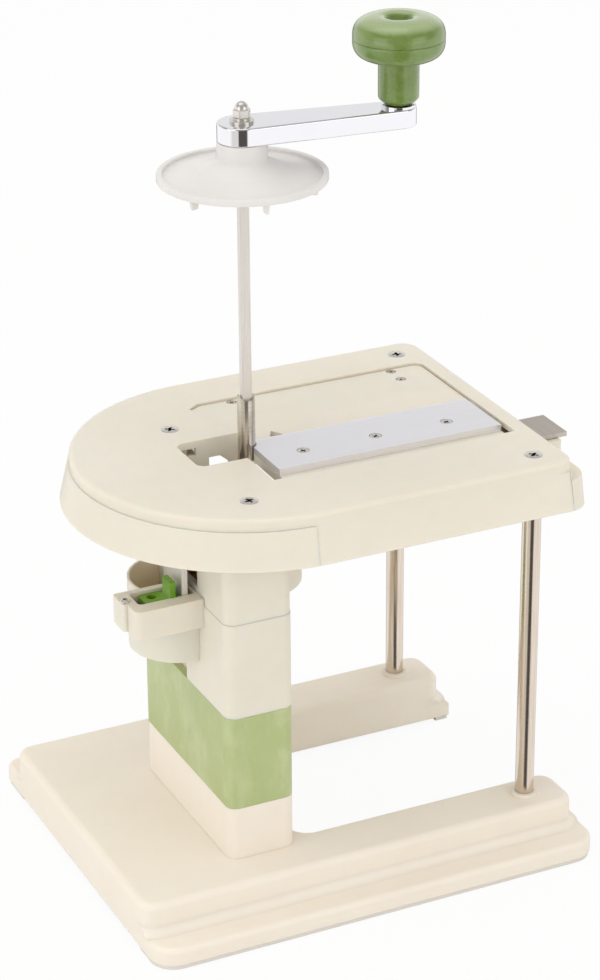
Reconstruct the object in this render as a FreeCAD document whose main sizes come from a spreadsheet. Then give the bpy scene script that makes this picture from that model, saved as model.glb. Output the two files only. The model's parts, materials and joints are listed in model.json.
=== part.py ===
"""Rotary cabbage shredder: a hand cranked kitchen tool as a parametric FreeCAD document.

Millimetres, +Z up. Every x in the sheet is measured from the crank axis and every y from the
middle plane; the finished sub-parts are then placed so that the origin lies under the middle
of the whole machine, on the surface it stands on.
"""
import FreeCAD, Part
import math
import os
from types import SimpleNamespace

import PartDesign
import Sketcher

DOC = FreeCAD.newDocument("rotary_cabbage_shredder")
SHEET = DOC.addObject("Spreadsheet::Sheet", "dims")
Vector = FreeCAD.Vector


class Size:
    """A length that knows its value in mm and its expression in the sheet."""

    def __init__(self, value, text):
        self.value = float(value)
        self.text = text

    @staticmethod
    def of(thing):
        return thing if isinstance(thing, Size) else Size(thing, repr(float(thing)))

    def _join(self, other, sign, value):
        return Size(value, f"({self.text} {sign} {Size.of(other).text})")

    def __add__(self, other):
        return self._join(other, "+", self.value + Size.of(other).value)

    def __sub__(self, other):
        return self._join(other, "-", self.value - Size.of(other).value)

    def __mul__(self, other):
        return self._join(other, "*", self.value * Size.of(other).value)

    def __truediv__(self, other):
        return self._join(other, "/", self.value / Size.of(other).value)

    def __neg__(self):
        return Size(-self.value, f"(0 - {self.text})")

    def __radd__(self, other):
        return Size.of(other) + self

    def __rsub__(self, other):
        return Size.of(other) - self

    def __rmul__(self, other):
        return Size.of(other) * self


def root(size):
    return Size(math.sqrt(size.value), f"sqrt({size.text})")


def cosine(angle):
    return Size(math.cos(math.radians(angle.value)), f"cos({angle.text} * 1 deg)")


def sine(angle):
    return Size(math.sin(math.radians(angle.value)), f"sin({angle.text} * 1 deg)")


# ---------------------------------------------------------------- driving dimensions
ROWS = (
    # fits and small gaps
    ("running_gap", 0.05, "radial clearance of a shaft in its bearing"),
    ("slide_gap", 0.3, "clearance of a sliding or tilting piece"),
    ("panel_gap", 0.8, "gap round the ramp panel in the cover opening"),
    ("seat_gap", 0.05, "clearance of a fixed rod or screw in its hole"),
    # posts and frame screws
    ("post_x", 127.5, "crank axis to the posts"),
    ("post_half", 76.9, "half the distance between the posts"),
    ("post_dia", 10, "diameter of the posts"),
    ("post_seat", 3.8, "plastic between a post and its screw head"),
    ("collar_dia", 14.1, "ring round each post on the base"),
    ("collar_tall", 2.2, "height of that ring"),
    ("boss_dia", 17, "boss that holds a post"),
    ("screw_dia", 5, "thread diameter of the frame screws"),
    ("screw_head_dia", 10.2, "head diameter of the frame screws"),
    ("screw_head_tall", 2.7, "height of their countersunk heads"),
    ("screw_long", 16, "length of the frame screws"),
    # base
    ("foot_thick", 2.5, "height of the rubber foot strips"),
    ("foot_wide", 7.5, "width of the rubber foot strips"),
    ("foot_inset", 0.8, "foot strip edge inside the flange edge"),
    ("foot_short", 9, "each foot strip ends this far inside the upper tier"),
    ("flange_tall", 9.5, "height of the lower flange over the feet"),
    ("flange_wide", 18.5, "the flange stands out this far at front and back"),
    ("flange_end", 5, "the flange stands out this far at the leg ends"),
    ("flange_corner", 14, "corner radius of the flange"),
    ("flange_back_corner", 8, "corner radius of the flange at the back left"),
    ("flange_round", 3, "rounding of the flange edge"),
    ("plate_rise", 17.3, "base plate over the flange"),
    ("plate_left", 58.7, "column to the left wall of the base"),
    ("leg_outer", 16.1, "post to the outer wall of its leg"),
    ("leg_inner", 15.9, "post to the inner wall of its leg"),
    ("leg_end", 23, "post to the end of its leg"),
    ("yard_shelf", 5.7, "column to the inner edge of the base plate"),
    ("base_wall", 3, "wall of the base moulding"),
    ("tier_corner", 9, "corner radius of the upper tier"),
    ("yard_corner", 10, "corner radius inside the legs"),
    ("tier_round", 4, "rounding of the upper tier edge"),
    # column
    ("col_left", 44.6, "crank axis to the left face of the column"),
    ("col_right", 6.7, "crank axis to the right face of the column"),
    ("col_front", 70.5, "middle plane to the front face of the column"),
    ("col_back", 42, "middle plane to the back face of the column"),
    ("col_wall", 3, "wall of the column pieces"),
    ("col_corner", 6, "corner radius of the column"),
    ("stub_tall", 30.2, "height of the stub on the base plate"),
    ("sleeve_tall", 53, "height of the green sleeve"),
    ("neck_tall", 57.5, "height of the neck"),
    ("socket_tall", 34.5, "height of the upper socket over the drum"),
    ("socket_lap", 4, "joint of neck and upper socket below the top of the drum"),
    ("socket_step", 0.25, "the upper socket is this much smaller than the neck"),
    ("rod_dia", 8, "diameter of the tie rods in the column"),
    ("rod_inset_front", 7.7, "front tie rod to the front face of the column"),
    ("rod_inset_back", 5.1, "back tie rod to the back face of the column"),
    ("rod_inset_left", 17.1, "tie rods to the left face of the column"),
    ("rod_spare", 3, "tie rod below its nut"),
    ("nut_room", 11.5, "foot line to the floor that the rod nuts pull on"),
    ("nut_floor", 4, "thickness of that floor"),
    ("nut_wide", 13, "width across the flats of the frame nuts"),
    ("nut_tall", 5, "height of the frame nuts"),
    # drum and catch channel on the neck
    ("drum_y", 9.3, "middle plane to the drum axis, forwards"),
    ("drum_dia", 53, "outer diameter of the drum"),
    ("drum_wall", 1.2, "wall of the drum"),
    ("drum_tall", 38.6, "height of the drum"),
    ("recess_side", 8.7, "drum axis to the front end of the recess under it"),
    ("recess_deep", 4.1, "depth of the recess under the drum"),
    ("block_tall", 16.2, "height of the channel block"),
    ("block_end", 5, "wall at the left end of the catch channel"),
    ("block_front_wall", 8.5, "wall in front of the catch channel"),
    ("block_back_wall", 3.5, "wall behind the catch channel"),
    ("lug_out", 2.5, "the screw lug stands out this far"),
    ("lug_wide", 11, "the screw lug reaches this far in front of the channel's back wall"),
    ("lug_corner", 1.8, "corner radius of the lug"),
    ("lug_screw", 2.5, "left end of the lug to its screw"),
    ("lug_screw_front", 3.5, "front of the lug to its screw"),
    ("lug_head_dia", 4.9, "head diameter of that screw"),
    ("channel_reach", 32.4, "column to the left end of the catch channel"),
    ("channel_start", 1.9, "column to the right end of the catch channel"),
    ("channel_back", 20, "middle plane to the back wall of the catch channel"),
    ("channel_wide", 14, "width of the catch channel"),
    ("channel_deep", 14, "depth of the catch channel"),
    ("catch_stroke", 5, "room for the catch to slide"),
    ("channel_corner", 2, "corner radius at the left end of the catch channel"),
    ("catch_gap", 3.5, "tongue plate to the catch tab"),
    ("catch_tall", 11.9, "height of the catch slide"),
    ("tab_rise", 10.1, "catch tab over the catch slide"),
    ("tab_thick", 3.1, "thickness of the catch tab"),
    ("tab_wide", 10, "width of the catch tab"),
    ("catch_hole", 5, "hole in the catch"),
    ("hole_back", 2.1, "this hole behind the middle of the catch"),
    ("hole_left", 0.5, "this hole to the left of the middle of the catch slide"),
    ("nose_short", 1, "the catch nose ends this far inside the tongue plate"),
    ("nose_wide", 6, "width of the catch nose"),
    ("nose_rise", 2.5, "channel floor to the catch nose"),
    ("nose_tall", 5, "height of the catch nose"),
    ("tongue_gap", 8.3, "column to the left face of the tongue plate"),
    ("tongue_thick", 3.2, "thickness of the tongue plate"),
    ("tongue_wider", 10, "the upper tongue plate is this much wider"),
    ("tongue_flange", 15, "length of the bent top of the tongue plate"),
    ("small_screw_dia", 3, "thread diameter of the small screws"),
    ("small_screw_long", 12, "length of the small screws"),
    ("small_head_dia", 5.6, "head diameter of the small screws"),
    ("small_head_tall", 1.6, "head height of the small screws"),
    # head
    ("housing_tall", 19.5, "height of the housing"),
    ("cover_tall", 6.5, "height of the cover over the housing"),
    ("head_side", 16.5, "post to the side of the housing at its top"),
    ("head_flare", 4.6, "the housing is this much wider at its underside"),
    ("cover_step", 0.9, "the cover is set in this far"),
    ("cover_end", 16.7, "post to the right end of the cover"),
    ("ledge_wide", 7.8, "width of the ledge at the right end"),
    ("ledge_drop", 4, "ledge below the joint of housing and cover"),
    ("head_wall", 3, "wall of housing and cover"),
    ("head_corner", 13, "corner radius of the housing"),
    ("cover_corner", 10, "corner radius of the cover"),
    ("cover_round", 2.5, "rounding of the cover edge"),
    ("apron_left", 5, "left end of the front apron, left of the axis"),
    ("apron_short", 3.7, "the front apron ends this far inside the cover end"),
    # opening in the cover
    ("pit_left", 33.6, "left side of the spindle opening"),
    ("pit_front", 15, "front side of the spindle opening"),
    ("pit_back", 17, "back side of the spindle opening"),
    ("pit_corner", 5, "corner radius of the spindle opening"),
    ("pit_deep", 11, "depth of the wall round the spindle opening"),
    ("pit_wall", 2, "wall round the spindle opening"),
    ("gate_left", 14, "left side of the gate in the back wall of the spindle opening"),
    ("gate_knee", 7.8, "where the top of the gate starts to slope down"),
    ("gate_right", 2.4, "right side of the gate"),
    ("gate_slope", 4.5, "the top of the gate falls this much to its right side"),
    ("gate_foot", 2, "gate wall over the deck of the housing"),
    ("peep_left", 30.5, "left side of the small window in that wall"),
    ("peep_right", 21.5, "right side of the small window"),
    ("peep_top", 1.3, "small window below the cover plate"),
    ("peep_tall", 4, "height of the small window"),
    ("slot_left", 6.3, "left side of the blade opening"),
    ("slot_front", 46, "front side of the blade opening"),
    ("slot_right", 134, "right side of the blade and ramp opening"),
    ("ramp_back", 62, "back side of the ramp opening"),
    ("ramp_tip_x", 7.8, "left tip of the ramp opening, left of the axis"),
    ("ramp_tip_cut", 4.7, "length of the bevel at that tip"),
    ("ramp_tip_wide", 7, "width of the bevel at that tip"),
    ("ramp_tip_round", 2.2, "rounding of the corners of that bevel"),
    ("ramp_root_x", 3, "where the ramp edge meets the spindle opening"),
    ("ramp_corner", 6, "corner radius of the ramp opening"),
    # blade and its holder
    ("blade_left", 1.7, "left end of the blade plate"),
    ("blade_end_gap", 3, "blade plate to the right side of its opening"),
    ("blade_front_gap", 9.4, "blade plate to the front side of its opening"),
    ("blade_edge", 3.5, "cutting edge, behind the middle plane"),
    ("blade_proud", 0.5, "blade plate over the cover"),
    ("blade_thick", 3.5, "thickness of the blade plate"),
    ("bevel_wide", 3, "width of the ground bevel"),
    ("blade_clear", 0.6, "clearance between the blade and the spindle tube"),
    ("blade_screw_y", 20, "blade screws in front of the middle plane"),
    ("blade_screw_in", 63.3, "left end of the blade to its middle screw"),
    ("blade_screw_pitch", 42, "pitch of the blade screws"),
    ("blade_screw_dia", 4, "thread diameter of the blade screws"),
    ("blade_head_dia", 6.8, "head diameter of the blade screws"),
    ("blade_head_tall", 2.1, "height of the blade screw heads"),
    ("head_sink", 0.2, "flat screw heads lie this far below the face"),
    ("holder_thick", 5, "thickness of the blade holder"),
    ("holder_lap", 1, "the blade holder laps over its rib"),
    ("holder_back", 3, "back edge of the holder, in front of the middle plane"),
    ("rib_short", 0.9, "front face of the rib behind the post axis"),
    ("rib_thick", 6, "thickness of the ribs under the holder"),
    ("rib_gap", 6, "ribs at the right end over the underside of the housing"),
    # ramp
    ("ramp_sink", 1.3, "ramp panel below the cover"),
    ("ramp_thick", 2.5, "thickness of the ramp panel"),
    ("slice_gap", 0.8, "cutting edge to the front edge of the ramp"),
    ("notch_x", 20.5, "tip of the notch in the ramp panel"),
    ("notch_deep", 9.7, "depth of that notch"),
    ("notch_half", 6, "half width of that notch at the front edge"),
    ("notch_floor", 1.2, "thickness of the floor under the notch"),
    ("notch_rim", 2, "the floor reaches this far round the notch"),
    ("carrier_left", 0, "left end of the ramp carrier"),
    ("carrier_gap", 13, "ramp carrier to the right side of the opening"),
    ("carrier_wide", 27, "hinge line to the front edge of the carrier"),
    ("carrier_thick", 2.6, "thickness of the ramp carrier"),
    ("carrier_end_screw", 6.5, "ramp screws to the end of the carrier"),
    ("carrier_first_screw", 18, "left ramp screw to the end of the carrier"),
    ("ramp_screw_in", 3.5, "ramp screws to the back side of the opening"),
    ("ramp_screw_step", 12, "second screw row in front of the first"),
    ("hinge_in", 5, "hinge line to the back side of the opening"),
    ("hinge_drop", 7.7, "hinge line below the ramp panel"),
    ("hinge_pin_dia", 3, "diameter of the hinge pin"),
    ("hinge_barrel_dia", 7.4, "diameter of the hinge barrel on the carrier"),
    ("hinge_lug_thick", 3, "thickness of the hinge lugs on the housing"),
    ("hinge_lug_gap", 1, "left hinge lug to the carrier"),
    ("foot_in_x", 5, "follower to the right end of the carrier"),
    ("foot_in_y", 4, "follower to the front edge of the carrier"),
    ("foot_size", 6, "width of the follower"),
    # adjusting slide
    ("slide_thick", 2.5, "thickness of the adjusting plate"),
    ("slide_out", 13.5, "the adjusting plate stands out of the housing this far"),
    ("slide_wide", 25, "width of the adjusting plate"),
    ("slide_arm_wide", 4.5, "width of its inner arm"),
    ("slide_travel", 2.2, "travel of the slide each way"),
    ("wedge_reach", 7, "the wedge runs this far either side of the follower"),
    ("wedge_sink", 1.5, "wedge face below the plate top at the follower"),
    ("wedge_deep", 5, "depth of the wedge below the plate top"),
    ("wedge_slope", 0.222, "rise of the wedge per length"),
    ("wedge_side", 3, "the wedge is this much wider than the follower each side"),
    ("guide_short", 4.8, "end of the plate to the end of the guide under it"),
    ("guide_side", 4, "the guide is this much wider than the plate each side"),
    ("guide_rise", 7.5, "underside of the guide over that of the housing"),
    # spindle
    ("tube_dia", 9.3, "outer diameter of the spindle tube"),
    ("tube_below", 4, "spindle tube below the barrel"),
    ("spindle_rise", 27.8, "spindle teeth over the cover"),
    ("tooth_deep", 1.5, "depth of the notch between the teeth"),
    ("tooth_notch", 7.4, "width of the notch between the teeth"),
    ("bar_wide", 5, "width of the square crank bar"),
    ("bar_gap", 0.1, "clearance of the bar in the tube, each side"),
    ("bar_inside", 15, "lower end of the crank bar over that of the tube"),
    ("barrel_dia", 56.4, "diameter of the bearing barrel"),
    ("barrel_drop", 7.5, "top of the bearing barrel below the housing"),
    ("barrel_tall", 43, "height of the bearing barrel"),
    ("barrel_wall", 3, "wall of the bearing barrel"),
    ("barrel_web", 5, "thickness of the barrel top"),
    ("bearing_boss_dia", 19, "diameter of the bearing boss"),
    ("bearing_boss_short", 6, "the bearing boss ends this far inside the barrel"),
    ("bush_dia", 12.4, "diameter of the bushes"),
    ("bush_long", 12, "length of the bushes in the boss"),
    ("bush_flange_dia", 17, "flange diameter of the bushes"),
    ("bush_flange", 1.5, "flange thickness of the bushes"),
    ("shoulder_dia", 15, "shoulder on the spindle tube"),
    ("shoulder_tall", 3, "height of that shoulder"),
    ("clip_dia", 13.6, "diameter of the retaining ring"),
    ("clip_thick", 1.2, "thickness of the retaining ring"),
    # crank
    ("crank_rise", 165.5, "crank arm over the cover"),
    ("crank_angle", -8, "angle of the crank arm at rest, degrees"),
    ("arm_long", 82.3, "crank radius"),
    ("arm_thick", 9.7, "thickness of the crank arm"),
    ("arm_hub_radius", 12.6, "radius of the arm at the spindle"),
    ("arm_end_radius", 9.2, "radius of the arm at the knob"),
    ("arm_round", 0.7, "rounding of the arm edges"),
    ("washer_dia", 12.4, "diameter of the arm washer"),
    ("washer_thick", 1.2, "thickness of the arm washer"),
    ("spring_washer_dia", 8.8, "diameter of the spring washer"),
    ("spring_washer_thick", 1.3, "thickness of the spring washer"),
    ("cap_nut_wide", 8, "width across flats of the cap nut"),
    ("cap_nut_tall", 4.2, "height of its hexagon"),
    ("cap_dome_dia", 6.9, "diameter of its dome"),
    ("cap_dome_tall", 3.9, "height of its dome"),
    ("cap_dome_wall", 2, "metal over the thread in the dome"),
    ("thread_dia", 5, "thread on top of the crank bar"),
    # presser disc
    ("disc_dia", 86.6, "diameter of the presser disc"),
    ("rim_tall", 3.8, "height of its rim"),
    ("disc_skin", 2, "thickness of the disc"),
    ("disc_shoulder_dia", 44, "diameter where the disc starts to rise"),
    ("disc_shoulder_rise", 2, "height of that shoulder over the rim"),
    ("hub_dia", 25.7, "diameter of the disc hub"),
    ("hub_root_rise", 4.8, "shoulder to the foot of the hub"),
    ("hub_tall", 9.6, "height of the hub"),
    ("inner_hub_rise", 0.8, "underside of the inner hub over that of the rim"),
    ("inner_hub_dia", 15, "diameter of the inner hub"),
    ("prong_inset", 7.3, "circle of the prongs to the edge of the disc"),
    ("prong_long", 6, "radial length of a prong"),
    ("prong_thick", 2.6, "thickness of a prong"),
    ("prong_tall", 6.3, "prong below the rim"),
    ("prong_turn", -28, "angle of the first prong to the crank arm, degrees"),
    ("prong_count", 6, "number of prongs"),
    ("pin_dia", 2, "diameter of the disc pin"),
    ("pin_long", 13, "length of the disc pin"),
    # knob
    ("knob_gasket_dia", 17.4, "diameter of the knob washer"),
    ("knob_gasket_thick", 1.3, "thickness of the knob washer"),
    ("stem_dia", 20.9, "diameter of the knob stem"),
    ("stem_tall", 22.7, "height of the knob stem"),
    ("stem_chamfer", 2, "chamfer under the stem"),
    ("knob_dia", 47, "diameter of the knob head"),
    ("knob_lower_tall", 11, "height of the lower knob half"),
    ("knob_upper_tall", 11.4, "height of the upper knob half"),
    ("knob_under_round", 8, "rounding under the knob head"),
    ("knob_over_round", 10, "rounding on top of the knob head"),
    ("dimple_dia", 15.2, "diameter of the dimple on the knob"),
    ("dimple_deep", 4, "depth of that dimple"),
    ("knob_pin_dia", 6, "diameter of the knob pin"),
    ("knob_pin_head", 11, "head diameter of the knob pin"),
    ("knob_pin_drop", 4.5, "seat of the pin head below the knob joint"),
    ("knob_pin_cap", 2.6, "height of the pin head"),
)


def fill_sheet():
    """Write each driving dimension to the sheet and return them as named sizes."""
    sizes = SimpleNamespace()
    for row, (alias, value, note) in enumerate(ROWS, start=1):
        SHEET.set(f"A{row}", note)
        SHEET.set(f"B{row}", str(value))
        SHEET.setAlias(f"B{row}", alias)
        setattr(sizes, alias, Size(value, f"dims.{alias}"))
    DOC.recompute()
    return sizes


S = fill_sheet()


def stand_heights():
    """Heights of the stand and the head, each stacked on the one below it."""
    S.flange_top = S.foot_thick + S.flange_tall
    S.base_top = S.flange_top + S.plate_rise
    S.stub_top = S.base_top + S.stub_tall
    S.sleeve_top = S.stub_top + S.sleeve_tall
    S.neck_top = S.sleeve_top + S.neck_tall
    S.neck_joint = S.neck_top - S.socket_lap
    S.head_low = S.neck_top + S.socket_tall
    S.part_line = S.head_low + S.housing_tall
    S.head_top = S.part_line + S.cover_tall
    S.ledge_top = S.part_line - S.ledge_drop
    S.post_foot = S.foot_thick + S.screw_head_tall + S.post_seat
    S.rod_seat_low = S.foot_thick + S.nut_room
    S.rod_foot = S.rod_seat_low - S.nut_tall - S.rod_spare


def stand_plan():
    """Where the base, the column and the head lie in plan."""
    S.tier_half = S.post_half + S.leg_outer
    S.yard_half = S.post_half - S.leg_inner
    S.flange_half = S.tier_half + S.flange_wide
    S.tier_right = S.post_x + S.leg_end
    S.flange_right = S.tier_right + S.flange_end
    S.base_left = S.col_left + S.plate_left
    S.yard_left = S.col_right - S.yard_shelf
    S.foot_end = S.tier_half - S.foot_short
    S.rod_front = S.col_front - S.rod_inset_front
    S.rod_back = S.col_back - S.rod_inset_back
    S.rod_x = S.col_left - S.rod_inset_left
    S.head_high_radius = S.post_half + S.head_side
    S.head_low_radius = S.head_high_radius + S.head_flare
    S.cover_radius = S.head_high_radius - S.cover_step
    S.cover_right = S.post_x + S.cover_end
    S.head_right = S.cover_right + S.ledge_wide
    S.apron_right = S.cover_right - S.apron_short
    S.deck_right = S.col_right + S.socket_step


def catch_places():
    """The drum, the catch channel and what slides in it."""
    S.drum_low = S.neck_top - S.drum_tall
    S.recess_y = S.drum_y + S.recess_side
    S.block_low = S.neck_top - S.block_tall
    S.channel_low = S.neck_top - S.channel_deep
    S.channel_left = S.col_left + S.channel_reach
    S.channel_right = S.col_left + S.channel_start
    S.channel_front = S.channel_back + S.channel_wide
    S.block_front = S.channel_front + S.block_front_wall
    S.block_back = S.channel_back - S.block_back_wall
    S.block_left = S.channel_left + S.block_end
    S.lug_left = S.block_left + S.lug_out
    S.lug_front = S.channel_back + S.lug_wide
    S.catch_screw_x = S.lug_left - S.lug_screw
    S.catch_screw_y = S.lug_front - S.lug_screw_front
    S.tongue_left = S.col_left + S.tongue_gap
    S.tongue_back = S.channel_back - S.tongue_wider
    S.tongue_foot = S.channel_low + S.slide_gap * 2
    S.catch_left = S.channel_left - S.catch_stroke
    S.catch_right = S.tongue_left + S.catch_gap
    S.catch_top = S.channel_low + S.slide_gap + S.catch_tall
    S.tab_top = S.catch_top + S.tab_rise
    S.nose_long = S.catch_gap + S.tongue_thick - S.nose_short
    S.nose_low = S.channel_low + S.nose_rise


def table_places():
    """The blade, the ramp and the adjusting plate in the head."""
    S.ramp_tip_y = S.ramp_back - S.ramp_tip_cut
    S.blade_right = S.slot_right - S.blade_end_gap
    S.blade_front = S.slot_front - S.blade_front_gap
    S.blade_top = S.head_top + S.blade_proud
    S.blade_screw_x = S.blade_left + S.blade_screw_in
    S.rib_front = S.post_half - S.rib_short
    S.holder_front = S.rib_front + S.holder_lap
    S.end_rib_left = S.blade_right - S.rib_thick
    S.ramp_top = S.head_top - S.ramp_sink
    S.ramp_front = S.blade_edge + S.slice_gap
    S.notch_y = S.ramp_front + S.notch_deep
    S.carrier_right = S.slot_right - S.carrier_gap
    S.hinge_y = S.ramp_back - S.hinge_in
    S.hinge_z = S.ramp_top - S.hinge_drop
    S.carrier_front = S.hinge_y - S.carrier_wide
    S.foot_x = S.carrier_right - S.foot_in_x
    S.foot_y = S.carrier_front + S.foot_in_y
    S.hinge_left_lug = S.hinge_lug_thick + S.hinge_lug_gap - S.carrier_left
    S.slide_top = S.part_line
    S.slide_end = S.head_right + S.slide_out
    S.slide_front = S.slot_front
    S.slide_back = S.slide_front - S.slide_wide
    S.slide_arm_left = S.slot_right
    S.guide_end = S.slide_end - S.guide_short
    S.guide_low = S.head_low + S.guide_rise


def spindle_heights():
    """The spindle, the presser disc, the crank and its knob."""
    S.barrel_top = S.head_low - S.barrel_drop
    S.barrel_low = S.barrel_top - S.barrel_tall
    S.bearing_boss_low = S.barrel_low + S.bearing_boss_short
    S.tube_low = S.barrel_low - S.tube_below
    S.tube_top = S.head_top + S.spindle_rise
    S.bar_low = S.tube_low + S.bar_inside
    S.arm_low = S.head_top + S.crank_rise
    S.arm_top = S.arm_low + S.arm_thick
    S.cap_seat = S.arm_top + S.washer_thick + S.spring_washer_thick
    S.cap_top = S.cap_seat + S.cap_nut_tall + S.cap_dome_tall
    S.hub_root = S.arm_low - S.hub_tall
    S.disc_shoulder_top = S.hub_root - S.hub_root_rise
    S.disc_lip = S.disc_shoulder_top - S.disc_shoulder_rise
    S.disc_low = S.disc_lip - S.rim_tall
    S.hub_low = S.disc_low + S.inner_hub_rise
    S.prong_low = S.disc_low - S.prong_tall
    S.prong_radius = S.disc_dia / 2 - S.prong_inset
    S.knob_low = S.arm_top + S.knob_gasket_thick + S.slide_gap
    S.knob_under = S.knob_low + S.stem_tall
    S.knob_seam = S.knob_under + S.knob_lower_tall
    S.knob_top = S.knob_seam + S.knob_upper_tall
    S.knob_pin_seat = S.knob_seam - S.knob_pin_drop


stand_heights()
stand_plan()
catch_places()
table_places()
spindle_heights()
AXIS_X = (S.base_left - S.slide_end) / 2
SUBPARTS = []


# ---------------------------------------------------------------- small modelling kit
def bind(thing, prop, size):
    """Tie one property of a document object to the sheet."""
    thing.setExpression(prop, Size.of(size).text)


def place(thing, x=0, y=0, z=0):
    for axis, size in zip("xyz", (x, y, z)):
        bind(thing, f"Placement.Base.{axis}", size)


def unique(stem):
    return DOC.getUniqueObjectName(stem)


def box(x, y, z):
    """A block between three pairs of planes."""
    block = DOC.addObject("Part::Box", unique("block"))
    for prop, (low, high) in zip(("Length", "Width", "Height"), (x, y, z)):
        bind(block, prop, Size.of(high) - low)
    place(block, x[0], y[0], z[0])
    return block


def rod(x, y, z, dia):
    """A vertical cylinder between two heights."""
    solid = DOC.addObject("Part::Cylinder", unique("rod"))
    bind(solid, "Radius", Size.of(dia) / 2)
    bind(solid, "Height", Size.of(z[1]) - z[0])
    place(solid, x, y, z[0])
    return solid


def level_rod(ends, y, z, dia):
    """A cylinder along X between two ends."""
    solid = DOC.addObject("Part::Cylinder", unique("level_rod"))
    bind(solid, "Radius", Size.of(dia) / 2)
    bind(solid, "Height", Size.of(ends[1]) - ends[0])
    solid.Placement.Rotation = FreeCAD.Rotation(Vector(0, 1, 0), 90)
    place(solid, ends[0], y, z)
    return solid


def cone(x, y, z, low_dia, high_dia):
    solid = DOC.addObject("Part::Cone", unique("cone"))
    bind(solid, "Radius1", Size.of(low_dia) / 2)
    bind(solid, "Radius2", Size.of(high_dia) / 2)
    bind(solid, "Height", Size.of(z[1]) - z[0])
    place(solid, x, y, z[0])
    return solid


def hexagon(x, y, z, flats):
    solid = DOC.addObject("Part::Prism", unique("hexagon"))
    solid.Polygon = 6
    bind(solid, "Circumradius", Size.of(flats) / root(Size.of(3)))
    bind(solid, "Height", Size.of(z[1]) - z[0])
    place(solid, x, y, z[0])
    return solid


def fuse(*shapes):
    joined = DOC.addObject("Part::MultiFuse", unique("join"))
    joined.Shapes = list(shapes)
    joined.Refine = True
    return joined


def cut(body, *tools):
    whole = DOC.addObject("Part::Cut", unique("cut"))
    whole.Base = body
    whole.Tool = tools[0] if len(tools) == 1 else fuse(*tools)
    whole.Refine = True
    return whole


def common(first, second):
    shared = DOC.addObject("Part::Common", unique("common"))
    shared.Base = first
    shared.Tool = second
    return shared


def group(*solids):
    several = DOC.addObject("Part::Compound", unique("several"))
    several.Links = list(solids)
    return several


def value(size):
    return Size.of(size).value


def upright_edges(shape, corners, slack):
    """Names of the edges that run mostly upwards near one of the corners (x, y)."""
    names = []
    for number, edge in enumerate(shape.Edges, start=1):
        ends = [vertex.Point for vertex in edge.Vertexes]
        if len(ends) != 2:
            continue
        run = ends[1] - ends[0]
        middle = (ends[0] + ends[1]) * 0.5
        if abs(run.z) < 3 * math.hypot(run.x, run.y) or abs(run.z) < 1e-3:
            continue
        if any(math.hypot(middle.x - value(x), middle.y - value(y)) < slack for x, y in corners):
            names.append((number, edge))
    return names


def rounded_uprights(solid, corners, radius, slack=0.4):
    """A Part fillet on the upright edges at the given corners."""
    DOC.recompute()
    soft = DOC.addObject("Part::Fillet", unique("rounded"))
    soft.Base = solid
    edges = upright_edges(solid.Shape, corners, slack)
    soft.Edges = [(number, value(radius), value(radius)) for number, _ in edges]
    return soft


# ---- PartDesign helpers
def new_body(label):
    return DOC.addObject("PartDesign::Body", label)


def origin_plane(body, role):
    return next(item for item in body.Origin.OriginFeatures if item.Role == role)


def blank_sketch(body, role="XY_Plane", lift=0):
    sketch = body.newObject("Sketcher::SketchObject", unique("sketch"))
    sketch.AttachmentSupport = [(origin_plane(body, role), "")]
    sketch.MapMode = "FlatFace"
    bind(sketch, "AttachmentOffset.Base.z", lift)
    return sketch


def polygon(body, points, role="XY_Plane", lift=0):
    """A closed sketch through the points, each held by its distances from the origin."""
    sketch = blank_sketch(body, role, lift)
    spots = [(Size.of(x), Size.of(y)) for x, y in points]
    flat = [Vector(x.value, y.value, 0) for x, y in spots]
    count = len(flat)
    for number in range(count):
        sketch.addGeometry(Part.LineSegment(flat[number], flat[(number + 1) % count]), False)
    for number in range(count):
        following = (number + 1) % count
        sketch.addConstraint(Sketcher.Constraint("Coincident", number, 2, following, 1))
    for number, (x, y) in enumerate(spots):
        for kind, size in (("DistanceX", x), ("DistanceY", y)):
            fixed = Sketcher.Constraint(kind, -1, 1, number, 1, size.value)
            place_in_list = sketch.addConstraint(fixed)
            sketch.setExpression(f"Constraints[{place_in_list}]", size.text)
    return sketch


def rectangle(body, x, y, lift=0):
    return polygon(body, ((x[0], y[0]), (x[1], y[0]), (x[1], y[1]), (x[0], y[1])), lift=lift)


def circle(body, x, y, dia, lift=0):
    sketch = blank_sketch(body, lift=lift)
    x, y, dia = Size.of(x), Size.of(y), Size.of(dia)
    sketch.addGeometry(Part.Circle(Vector(x.value, y.value, 0), Vector(0, 0, 1), dia.value / 2), False)
    for kind, size in (("DistanceX", x), ("DistanceY", y)):
        held = sketch.addConstraint(Sketcher.Constraint(kind, -1, 1, 0, 3, size.value))
        sketch.setExpression(f"Constraints[{held}]", size.text)
    wide = sketch.addConstraint(Sketcher.Constraint("Diameter", 0, dia.value))
    sketch.setExpression(f"Constraints[{wide}]", dia.text)
    return sketch


def pad(body, sketch, length):
    feature = body.newObject("PartDesign::Pad", unique("pad"))
    feature.Profile = sketch
    bind(feature, "Length", length)
    body.Tip = feature
    return feature


def pocket(body, sketch, depth):
    """Cut upwards from the sketch plane."""
    feature = body.newObject("PartDesign::Pocket", unique("pocket"))
    feature.Profile = sketch
    feature.Reversed = True
    bind(feature, "Length", depth)
    body.Tip = feature
    return feature


def revolve(body, outline):
    """Turn an outline of (radius, height) points about the upright axis."""
    sketch = polygon(body, outline, role="XZ_Plane")
    feature = body.newObject("PartDesign::Revolution", unique("revolution"))
    feature.Profile = sketch
    feature.ReferenceAxis = (sketch, ["V_Axis"])
    feature.Angle = 360
    body.Tip = feature
    return feature


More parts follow.
